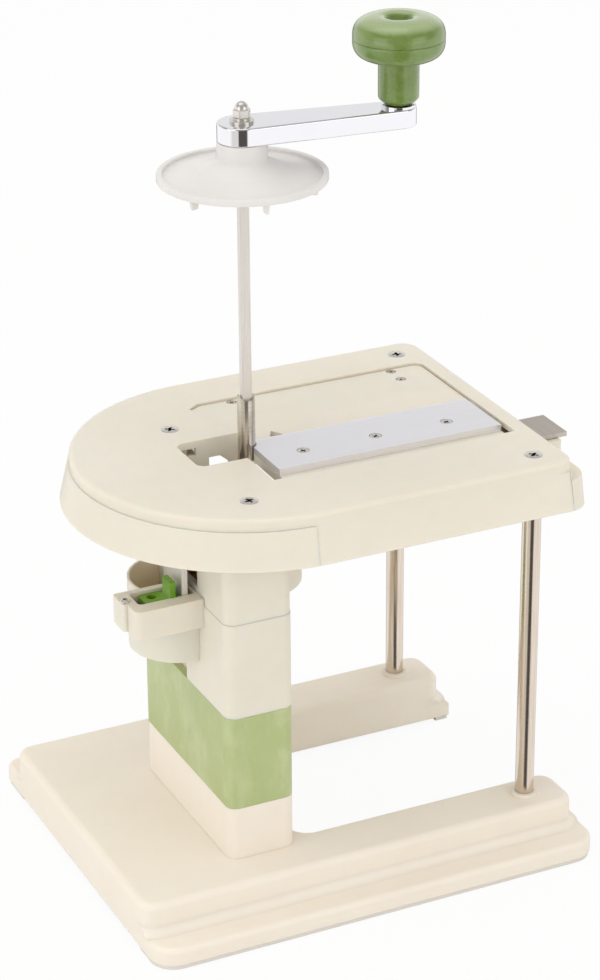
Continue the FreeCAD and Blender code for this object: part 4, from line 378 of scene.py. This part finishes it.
# %% [markdown]
# ## From mesh to piece
#
# A finished piece is a mesh whose vertices already lie in place, an empty transform, one material,
# and the CAD body that it moves with. Smooth shading with sharp edges by angle makes turned parts
# look round without more faces, and the Weighted Normal modifier keeps large flat faces flat beside
# their rounded edges.

# %% Make a piece
body_of = {name: item["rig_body"] for name, item in nodes.items()}
weld_gap = 1e-6


def make_piece(shape, name, finish, slot, node, sharp=32.0, fix_normals=True):
    """Make a bmesh a piece that moves with the body of a CAD node."""
    bmesh.ops.remove_doubles(shape, verts=shape.verts, dist=weld_gap)
    if fix_normals:
        bmesh.ops.recalc_face_normals(shape, faces=shape.faces)
    for face in shape.faces:
        face.smooth = True
    mesh = bpy.data.meshes.new(name)
    shape.to_mesh(mesh)
    shape.free()
    mesh.set_sharp_from_angle(angle=math.radians(sharp))
    piece = bpy.data.objects.new(name, mesh)
    bpy.context.scene.collection.objects.link(piece)
    mesh.materials.append(finish)
    weigh = piece.modifiers.new("flat faces", "WEIGHTED_NORMAL")
    weigh.keep_sharp = True
    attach(piece, body_of[node])
    print(f"{name}: {len(mesh.polygons)} faces on {body_of[node]}")
    return piece


def stand_in(shape, name, finish, slot, node, **shading):
    """Make a bmesh a piece that takes the place of a CAD node."""
    piece = make_piece(shape, name, finish, slot, node, **shading)
    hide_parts(node)
    return piece


# %% [markdown]
# ## Dressing a CAD solid
#
# The big mouldings have their true shape in the CAD model. Their meshes come as loose triangles, so
# light breaks at every triangle of a rounded wall. In a copy the corners are merged and the triangles
# of each flat face joined to one large face, which then weighs enough to keep the shading flat beside
# a rounding. Modelling them again would only lose accuracy. On the neck's drum, round and flat faces
# meet at small angles, and normals smoothed across them drew a dark patch there, so the neck counts
# every edge over 3 degrees as sharp.

# %% Dress the mouldings and the plates
cad_weld_gap = 2e-6
flat_within = math.radians(0.05)


def merged_copy(node):
    """A bmesh of a CAD node, with the corners of its loose triangles merged."""
    shape = bmesh.new()
    shape.from_mesh(nodes[node].data)
    bmesh.ops.remove_doubles(shape, verts=shape.verts, dist=cad_weld_gap)
    return shape


def dressed(node, finish, slot, sharp=26.0):
    shape = merged_copy(node)
    bmesh.ops.dissolve_limit(shape, angle_limit=flat_within, verts=shape.verts, edges=shape.edges)
    stand_in(shape, node + "_skin", finish, slot, node, sharp=sharp, fix_normals=False)


for node in ("housing", "cover", "bearing_socket", "blade_holder", "ramp_carrier", "ramp_panel"):
    dressed(node, ivory, "cream_plastic")
dressed("neck", ivory, "cream_plastic", sharp=3.0)
dressed("base", base_ivory, "base_plastic")
dressed("column_sleeve", sleeve_green, "green_plastic")
dressed("release_catch", catch_green, "bright_green_plastic")
for node in ("front_foot_strip", "back_foot_strip"):
    dressed(node, foot_rubber, "foot_rubber")
for node in ("upper_bush", "lower_bush"):
    dressed(node, bush_white, "bush_plastic")
dressed("blade", blade_steel, "blade_steel")
dressed("adjusting_plate", plate_steel, "plate_steel")
dressed("tongue_plate", tongue_metal, "plate_aluminium")
dressed("tie_rods", post_steel, "post_steel")
dressed("spindle_tube", spindle_steel, "spindle_steel")
dressed("crank_bar", bar_steel, "bar_steel")
for node in ("tie_rod_nuts", "post_screws", "tongue_screws", "holder_screws", "hinge_pin",
             "spindle_ring", "disc_pin", "arm_washer", "spring_washer", "knob_pin"):
    dressed(node, fastener_steel, "fastener_steel")
dressed("knob_washer", chrome, "fastener_steel")

# %% [markdown]
# ## Turned pieces
#
# Posts, knob, disc and nut are round. Each is one half outline, spun around its axis: a few points
# give the whole piece, and `use_merge` closes the seam of the full turn. Points on the axis close
# the ends. Three small helpers read a node's place from its box and turn a form to its own angle.

# %% Spin an outline
def lathe(shape, outline, centre, steps=96):
    """Spin (radius, height) points, in millimetres, around the upright line through centre."""
    ring = [shape.verts.new((centre[0] + radius * mm, centre[1], level * mm))
            for radius, level in outline]
    edges = [shape.edges.new(pair) for pair in zip(ring, ring[1:])]
    bmesh.ops.spin(shape, geom=ring + edges, cent=(centre[0], centre[1], 0), axis=(0, 0, 1),
                   angle=math.tau, steps=steps, use_merge=True)
    bmesh.ops.remove_doubles(shape, verts=shape.verts, dist=weld_gap)


def middle_of(node):
    low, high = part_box(node)
    return (low + high) / 2


def levels_of(node):
    """The lowest and the highest level of a node, in millimetres."""
    return [corner.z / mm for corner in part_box(node)]


def turned_to(x, y, z, degrees):
    """A turn about the upright axis, then a move, in metres."""
    return Matrix.Translation((x, y, z)) @ Matrix.Rotation(math.radians(degrees), 4, "Z")


# %% [markdown]
# ## Posts
#
# The two posts are ground round bar of 10 mm with a small chamfer at each end. A fine turned outline
# with chamfers keeps the long reflections straight.

# %% Posts
post_radius, chamfer = 5.0, 0.6
for node in ("front_post", "back_post"):
    low, high = levels_of(node)
    shape = bmesh.new()
    lathe(shape, [(0, low), (post_radius - chamfer, low), (post_radius, low + chamfer),
                  (post_radius, high - chamfer), (post_radius - chamfer, high), (0, high)],
          middle_of(node))
    stand_in(shape, node + "_bar", post_steel, "post_steel", node)

# %% [markdown]
# ## The knob
#
# A mushroom knob in two halves that meet in a fine seam, with a dimple on top where the pin is
# covered. Both halves are turned, and a subdivision surface softens the outline. The pairs of close
# points hold the seam and the top of the stem crisp. The foot stands on a small inner ring, so a
# dark gap shows between the stem and its washer.

# %% Knob
knob_at = middle_of("knob_lower")
foot, seam = levels_of("knob_lower")[0], levels_of("knob_upper")[0]
crown = levels_of("knob_upper")[1]
under = foot + 22.7
lower_outline = [
    (3.4, foot), (3.6, foot), (6.9, foot), (7.2, foot + 0.2), (7.4, foot + 1.0), (8.2, foot + 1.1),
    (8.6, foot + 1.2), (10.3, foot + 2.9), (10.45, foot + 3.4), (10.45, foot + 12),
    (10.45, under - 0.5), (10.6, under), (12.0, under + 0.15), (16.4, under + 0.6),
    (20.6, under + 2.2), (22.9, under + 5.2), (23.48, under + 8.2), (23.48, seam - 0.9),
    (23.42, seam - 0.2), (23.2, seam - 0.04), (22.6, seam - 0.02), (3.6, seam - 0.02),
    (3.4, seam - 0.3), (3.4, foot + 0.3), (3.4, foot),
]
upper_outline = [
    (0, seam + 0.02), (22.6, seam + 0.02), (23.2, seam + 0.04), (23.42, seam + 0.2),
    (23.48, seam + 0.9), (23.46, seam + 3.2), (22.7, seam + 6.4), (20.5, seam + 8.8),
    (17.2, seam + 10.4), (13.4, crown - 0.25), (10.2, crown - 0.02), (8.4, crown - 0.2),
    (7.0, crown - 0.9), (6.0, crown - 2.4), (5.4, crown - 3.9), (4.6, crown - 4.5),
    (2.2, crown - 4.75), (0, crown - 4.75),
]
for name, outline, node in (("knob_stem_half", lower_outline, "knob_lower"),
                            ("knob_crown_half", upper_outline, "knob_upper")):
    shape = bmesh.new()
    lathe(shape, outline, knob_at, steps=48)
    half = stand_in(shape, name, knob_green, "green_plastic", node, sharp=60)
    soft = half.modifiers.new("soft outline", "SUBSURF")
    soft.levels = soft.render_levels = 2
    half.modifiers.move(1, 0)

# %% [markdown]
# ## The presser disc
#
# A thin dish with a raised rim, a hub that grips the square bar, and six prongs underneath that
# bite into the cabbage. The dish is turned. The prongs start as cubes whose lower end is drawn
# together to a blunt tip, and their edges are bevelled. A bevel makes new corners, so the prong is
# found again from its rounded faces, along its edges.

# %% Presser disc
def joined_to(seeds):
    """All the corners that edges join to the seeds, the seeds among them."""
    group, fresh = set(), set(seeds)
    while fresh:
        group |= fresh
        fresh = {edge.other_vert(corner) for corner in fresh for edge in corner.link_edges} - group
    return group


shaft = middle_of("crank_bar")
disc_low, disc_high = levels_of("presser_disc")
lip = 379.6
prong_count, prong_circle, prong_turn = 6, 36.0, -36
prong_wide, prong_thick, prong_top = 6.0, 2.6, lip - 3.2
disc_outline = [
    (2.7, lip - 3.0), (7.4, lip - 3.0), (7.4, lip + 3.6), (12.0, lip + 4.4), (21.5, lip - 0.4),
    (40.6, lip - 3.4), (42.3, lip - 3.8), (43.0, lip - 3.6), (43.3, lip - 3.0), (43.3, lip - 0.6),
    (43.2, lip - 0.2), (42.9, lip), (40.9, lip), (40.6, lip - 0.1), (40.4, lip - 0.4),
    (40.3, lip - 1.5), (40.0, lip - 1.75), (39.4, lip - 1.8), (38.0, lip - 1.6), (23.4, lip + 1.5),
    (20.8, lip + 2.4), (14.4, lip + 5.9), (13.4, lip + 6.6), (13.0, lip + 7.6), (12.95, lip + 9.0),
    (12.85, disc_high - 0.3), (12.6, disc_high), (2.7, disc_high), (2.7, lip - 3.0),
]
shape = bmesh.new()
lathe(shape, disc_outline, shaft, steps=128)
for count in range(prong_count):
    prong = bmesh.ops.create_cube(shape, size=1.0)["verts"]
    bmesh.ops.scale(shape, verts=prong,
                    vec=(prong_wide * mm, prong_thick * mm, (prong_top - disc_low) * mm))
    tip = [corner for corner in prong if corner.co.z < 0]
    bmesh.ops.scale(shape, verts=tip, vec=(0.72, 0.6, 1.0))
    edges = list({edge for corner in prong for edge in corner.link_edges})
    rounded = bmesh.ops.bevel(shape, geom=edges, affect="EDGES", offset=0.5 * mm, segments=3,
                              profile=0.5, material=-1, clamp_overlap=True)
    whole = joined_to(corner for face in rounded["faces"] for corner in face.verts)
    spot = turned_to(shaft.x, shaft.y, (prong_top + disc_low) / 2 * mm,
                     prong_turn + 360 / prong_count * count)
    bmesh.ops.transform(shape, verts=list(whole),
                        matrix=spot @ Matrix.Translation((prong_circle * mm, 0, 0)))
stand_in(shape, "presser_dish", disc_white, "white_plastic", "presser_disc", sharp=40)

# %% [markdown]
# ## The crank arm
#
# The arm is a flat chromed forging that tapers from the hub to the knob. Two circles give both
# ends, their convex hull gives the straight flanks between them, and extruding that one face gives
# the arm. A small rounded bevel shows the dark room above the horizon as one thin line, which is
# what makes chrome look like chrome.

# %% Crank arm
def verts_of(items):
    return [item for item in items if isinstance(item, bmesh.types.BMVert)]


def edges_of(items):
    return [item for item in items if isinstance(item, bmesh.types.BMEdge)]


arm_low, arm_high = levels_of("crank_arm")
hub_radius, end_radius = 12.6, 9.2
shape = bmesh.new()
for spot, radius in ((shaft, hub_radius), (knob_at, end_radius)):
    ends = bmesh.ops.create_circle(shape, cap_ends=False, radius=radius * mm, segments=128)["verts"]
    bmesh.ops.translate(shape, verts=ends, vec=(spot.x, spot.y, arm_low * mm))
around = bmesh.ops.convex_hull(shape, input=shape.verts, use_existing_faces=False)
bmesh.ops.delete(shape, geom=verts_of(around["geom_interior"]), context="VERTS")
bmesh.ops.dissolve_limit(shape, angle_limit=0.01, verts=shape.verts, edges=shape.edges)
bmesh.ops.delete(shape, geom=list(shape.faces)[1:], context="FACES_ONLY")
raised = bmesh.ops.extrude_face_region(shape, geom=list(shape.faces))["geom"]
bmesh.ops.translate(shape, verts=verts_of(raised), vec=(0, 0, (arm_high - arm_low) * mm))
brims = [edge for edge in shape.edges if abs(edge.verts[0].co.z - edge.verts[1].co.z) < weld_gap]
bmesh.ops.bevel(shape, geom=brims, affect="EDGES", offset=0.8 * mm, segments=4, profile=0.5,
                material=-1)
stand_in(shape, "chromed_arm", chrome, "arm_chrome", "crank_arm", sharp=40)

# %% [markdown]
# ## The domed nut
#
# A bought cap nut: a hexagon whose six corners are turned off at the top and the foot, a short
# collar and a half ball. The hexagon is a six-sided cone shape with bevelled rims, the dome is
# turned.

# %% Domed nut
nut_low, nut_high = levels_of("cap_nut")
hex_radius, hex_tall, hex_turn, dome_radius = 4.6, 4.2, 22, 3.4
shape = bmesh.new()
hexagon = bmesh.ops.create_cone(shape, cap_ends=True, segments=6, radius1=hex_radius * mm,
                                radius2=hex_radius * mm, depth=hex_tall * mm)["verts"]
bmesh.ops.transform(shape, verts=hexagon,
                    matrix=turned_to(shaft.x, shaft.y, (nut_low + hex_tall / 2) * mm, hex_turn))
bmesh.ops.bevel(shape, geom=list(shape.edges), affect="EDGES", offset=0.35 * mm, segments=3,
                profile=0.5, material=-1)
arc = [math.radians(degrees) for degrees in range(0, 90, 10)]
dome_outline = [(dome_radius * math.cos(angle), nut_high - dome_radius + dome_radius * math.sin(angle))
                for angle in arc]
lathe(shape, [(0, nut_low + 3.6), (3.6, nut_low + 4.05), (3.5, nut_low + 4.4)] + dome_outline
      + [(0, nut_high)], shaft, steps=48)
stand_in(shape, "domed_nut", fastener_steel, "fastener_steel", "cap_nut")

# %% [markdown]
# ## Cross-head screws
#
# Every screw head has the same parts: a plus-shaped recess that narrows to its floor, a flat or
# slightly domed ring around it, and a cone or a straight side below. The recess is a plus outline,
# extruded down and drawn together. Bridging the outline to a circle makes the ring, and extruding
# the circle outwards and down makes the rest. This is lighter and cleaner than cutting a cross out
# of a solid head. The screws of one CAD node are found as groups of corners that edges join.

# %% Screw maker
def cross_screw(shape, x, y, top, radius, dome, cone, shank, length, size, angle):
    """One screw in millimetres: head radius, dome height, cone depth, shank radius and length,
    and the size of its cross from the middle to an end."""
    before = set(shape.verts)
    half, recess, ring_radius = size * 0.22, size * 0.75, size * 1.18
    corners = [(size, -half), (size, half), (half, half), (half, size), (-half, size), (-half, half),
               (-size, half), (-size, -half), (-half, -half), (-half, -size), (half, -size),
               (half, -half)]
    plus = [shape.verts.new((a * mm, b * mm, top * mm)) for a, b in corners]
    rim = [shape.edges.new(pair) for pair in zip(plus, plus[1:] + plus[:1])]
    sunk = bmesh.ops.extrude_edge_only(shape, edges=rim)["geom"]
    bmesh.ops.translate(shape, verts=verts_of(sunk), vec=(0, 0, -recess * mm))
    bmesh.ops.scale(shape, verts=verts_of(sunk), vec=(0.55, 0.55, 1.0))
    bmesh.ops.holes_fill(shape, edges=edges_of(sunk), sides=0)
    ring = bmesh.ops.create_circle(shape, cap_ends=False, radius=ring_radius * mm, segments=36)["verts"]
    bmesh.ops.translate(shape, verts=ring, vec=(0, 0, top * mm))
    outer = list({edge for corner in ring for edge in corner.link_edges})
    bmesh.ops.bridge_loops(shape, edges=rim + outer)
    head_foot = (shank, -dome - cone) if cone else (radius, -dome - 1.2)
    steps = [(radius * 0.86, -dome * 0.45), (radius - 0.12, -dome), (radius, -dome - 0.12), head_foot,
             (shank, -dome - cone - 1.25), (shank, -dome - cone - length)]
    edge_loop, old, level = outer, ring_radius, 0.0
    for wide, deep in steps:
        made = bmesh.ops.extrude_edge_only(shape, edges=edge_loop)["geom"]
        bmesh.ops.scale(shape, verts=verts_of(made), vec=(wide / old, wide / old, 1.0))
        bmesh.ops.translate(shape, verts=verts_of(made), vec=(0, 0, (deep - level) * mm))
        edge_loop, old, level = edges_of(made), wide, deep
    bmesh.ops.holes_fill(shape, edges=edge_loop, sides=0)
    bmesh.ops.transform(shape, verts=list(set(shape.verts) - before), matrix=turned_to(x, y, 0, angle))


def screw_spots(node):
    """Middle, top and foot of each separate screw in one CAD node."""
    shape = merged_copy(node)
    left, spots = set(shape.verts), []
    while left:
        group = joined_to({left.pop()})
        left -= group
        xs, ys, zs = ([corner.co[axis] for corner in group] for axis in range(3))
        spots.append(((min(xs) + max(xs)) / 2, (min(ys) + max(ys)) / 2, max(zs) / mm, min(zs) / mm))
    shape.free()
    return sorted(spots)


# %% [markdown]
# ## The screws that show
#
# Four oval countersunk screws hold the cover, three flat ones the blade, three small ones the ramp
# panel and one round-headed screw sits in the lug of the neck. On a real machine no two slots stop
# at the same angle, so each gets a turn of its own.

# %% Screws
turns = (12, 51, 33, 74)
for node, radius, dome, cone, shank, size in (
        ("cover_screws", 5.05, 0.5, 2.2, 2.5, 2.6), ("blade_screws", 3.3, 0.1, 1.9, 2.0, 1.7),
        ("ramp_screws", 2.3, 0.1, 1.3, 1.5, 1.2), ("catch_screw", 2.45, 0.7, 0.0, 1.5, 1.3)):
    shape = bmesh.new()
    spots = screw_spots(node)
    for (x, y, top, low), angle in zip(spots, turns):
        cross_screw(shape, x, y, top, radius, dome, cone, shank, top - low - dome - cone, size, angle)
    stand_in(shape, node + "_heads", fastener_steel, "fastener_steel", node)
    print(node, "at", [(round(x / mm, 1), round(y / mm, 1)) for x, y, _, _ in spots])

# %% [markdown]
# ## The hollow rounding of the base
#
# Between the upper tier and the flange the moulding runs out in a hollow rounding of 5 mm. Its
# section is a small corner piece with a concave side. Spun around the corner of the tier and
# extruded along its straight walls, it follows the whole edge, and two cuts trim it flush with the
# left wall and with the yard between the legs. The back one is the mirror of the front one.

# %% Hollow rounding
wall_left, flange_top, reach, sunk_in = -134.4, 12.0, 5.0, 0.05
tier_right, tier_half, yard_half, corner_radius = 119.4, 93.0, 61.0, 9.0


def corner_section(shape, x, y, steps=8):
    """The closed section at a point of the left wall, standing out towards -X."""
    arc = [math.radians(90 * step / steps) for step in range(steps + 1)]
    points = [(x + sunk_in, flange_top - sunk_in)]
    points += [(x - reach + reach * math.sin(angle), flange_top + reach - reach * math.cos(angle))
               for angle in arc]
    ring = [shape.verts.new((across * mm, y * mm, level * mm)) for across, level in points]
    return [shape.edges.new(pair) for pair in zip(ring, ring[1:] + ring[:1])]


def around_corner(shape, edges, x, y):
    """Carry a section on by 90 degrees, around the upright line through a corner's centre."""
    corners = list({corner for edge in edges for corner in edge.verts})
    carried = bmesh.ops.spin(shape, geom=edges + corners, cent=(x * mm, y * mm, 0), axis=(0, 0, 1),
                             angle=math.radians(90), steps=10)
    return edges_of(carried["geom_last"])


def straight_on(shape, edges, x, y):
    """Carry a section on along a straight wall."""
    carried = bmesh.ops.extrude_edge_only(shape, edges=edges)["geom"]
    bmesh.ops.translate(shape, verts=verts_of(carried), vec=(x * mm, y * mm, 0))
    return edges_of(carried)


right_corner, front_corner = tier_right - corner_radius, -tier_half + corner_radius
for side, label in ((1, "front"), (-1, "back")):
    shape = bmesh.new()
    section = corner_section(shape, wall_left, front_corner)
    section = around_corner(shape, section, wall_left + corner_radius, front_corner)
    section = straight_on(shape, section, tier_right - wall_left - 2 * corner_radius, 0)
    section = around_corner(shape, section, right_corner, front_corner)
    section = straight_on(shape, section, 0, tier_half - yard_half - 2 * corner_radius)
    around_corner(shape, section, right_corner, -yard_half - corner_radius)
    for point, normal in (((wall_left * mm, 0, 0), (-1, 0, 0)), ((0, -yard_half * mm, 0), (0, 1, 0))):
        every = list(shape.verts) + list(shape.edges) + list(shape.faces)
        bmesh.ops.bisect_plane(shape, geom=every, plane_co=point, plane_no=normal, clear_outer=True,
                               dist=1e-7)
        open_edges = [edge for edge in shape.edges if edge.is_boundary]
        bmesh.ops.holes_fill(shape, edges=open_edges, sides=0)
    if side < 0:
        bmesh.ops.scale(shape, verts=shape.verts, vec=(1, -1, 1))
    make_piece(shape, label + "_hollow_rounding", seamless_ivory, "base_plastic", "base", sharp=60)

# %% [markdown]
# ## Floor
#
# A plain pale floor carries the machine's soft shadow. For the camera it is lifted towards white,
# so the background looks like a white sweep without more light on the machine itself.

# %% Floor
floor_half, lift_to_white = 6.0, 0.92
shape = bmesh.new()
bmesh.ops.create_grid(shape, x_segments=1, y_segments=1, size=floor_half)
mesh = bpy.data.meshes.new("floor")
shape.to_mesh(mesh)
shape.free()
floor = bpy.data.objects.new("floor", mesh)
bpy.context.scene.collection.objects.link(floor)
material, tree = empty_material("pale_floor")
seen = Wire.node(tree, "LightPath", out="Is Camera Ray")
matt = Wire.node(tree, "BsdfDiffuse", None, {"Color": (0.86, 0.86, 0.85, 1)})
glow = Wire.node(tree, "Emission", None, {"Color": (1, 1, 1, 1), "Strength": 1.0})
material_output(tree, Wire.node(tree, "MixShader", None, {0: seen * lift_to_white, 1: matt, 2: glow}))
mesh.materials.append(material)
floor.visible_glossy = False
print("floor", floor.name)

# %% [markdown]
# ## Studio surroundings
#
# The plastics only need soft even light, but steel and chrome show what stands around them: a white
# sweep below the horizon, the dark room behind the camera above it, and a pale ceiling. The sweep
# has one dark gap at its front edge, a brown shade at the left of the gap, and dark ends behind the
# machine. The world gives plain light to everything and adds those parts for reflections only. They
# are fixed in the room, so they slide over the metal as the machine is turned, as real reflections
# do. `bearing` is an angle in degrees around the machine, 0 towards the camera's side.

# %% World
plain_light, mirror_light = 0.90, 1.15
world = bpy.data.worlds.new("studio")
world.use_nodes = True
bpy.context.scene.world = world
tree = world.node_tree
tree.nodes.clear()
direction = Wire.node(tree, "TexCoord", out="Generated")
to_front = Vector((back.x, back.y, 0)).normalized()
aside = Vector((right.x, right.y, 0)).normalized()
bearing = along(direction, aside).math("ARCTAN2", along(direction, to_front)) * math.degrees(1)
rise = along(direction, (0, 0, 1))

below = rise.between(0.02, -0.10)
wall = rise.between(-0.04, 0.06) * rise.between(0.55, 0.85, 1.0, 0.0)
room = wall * bearing.between(-115, -75) * bearing.between(75, 115, 1.0, 0.0)
gap = bearing.between(-19, -11) * bearing.between(22, 31, 1.0, 0.0)
shade = bearing.between(-56, -40) * bearing.between(-22, -11, 1.0, 0.0)
far_ends = bearing.between(-142, -160) + bearing.between(142, 160)
banded = blend_colours(rise.between(0.1, 0.6), (0.93, 0.93, 0.94, 1), (0.42, 0.42, 0.43, 1))
for share, colour in ((room * 0.8, (0.09, 0.085, 0.08, 1)), (shade * below * 0.45, (0.40, 0.33, 0.27, 1)),
                      (gap * below * 0.95, (0.035, 0.028, 0.022, 1)),
                      (far_ends * below * 0.8, (0.06, 0.05, 0.05, 1))):
    banded = blend_colours(share, banded, colour)

paths = tree.nodes.new("ShaderNodeLightPath")
camera_ray, glossy_ray, clear_ray = (
    Wire(paths.outputs[name]) for name in ("Is Camera Ray", "Is Glossy Ray", "Is Transmission Ray"))
plain = Wire.node(tree, "Background", None, {"Color": (1.0, 0.99, 0.97, 1), "Strength": plain_light})
mirror = Wire.node(tree, "Background", None, {"Color": banded, "Strength": mirror_light})
white = Wire.node(tree, "Background", None, {"Color": (1, 1, 1, 1), "Strength": 1.0})
lit = Wire.node(tree, "MixShader", None, {0: glossy_ray, 1: plain, 2: mirror})
shown = Wire.node(tree, "MixShader", None, {0: camera_ray + clear_ray, 1: lit, 2: white})
output = tree.nodes.new("ShaderNodeOutputWorld")
tree.links.new(shown.socket, output.inputs["Surface"])
print("world nodes:", len(tree.nodes))

# %% [markdown]
# ## Lamps
#
# Three soft boxes, each larger than the machine, so that shadows stay soft. A weak one at the front
# right lights the front faces and lets the column shade the cup beside it. A larger one at the left
# opens the shadows there, and one above gives the plate its even tone.

# %% Lamps
aim_at = Vector((0, 0, 0.2))
for name, place, size, power in (
        ("front_box", (0.75, -1.6, 0.75), 1.0, 3.6), ("left_box", (-1.6, -0.5, 0.6), 1.2, 5.0),
        ("top_box", (-0.3, 0.1, 1.9), 1.5, 5.0)):
    light = bpy.data.lights.new(name, "AREA")
    light.shape, light.size, light.energy = "SQUARE", size, power
    lamp = bpy.data.objects.new(name, light)
    facing = (aim_at - Vector(place)).to_track_quat("-Z", "Y").to_matrix().to_4x4()
    lamp.matrix_world = Matrix.Translation(place) @ facing
    bpy.context.scene.collection.objects.link(lamp)
    lamp.visible_camera = False
    print(name, power, "W")
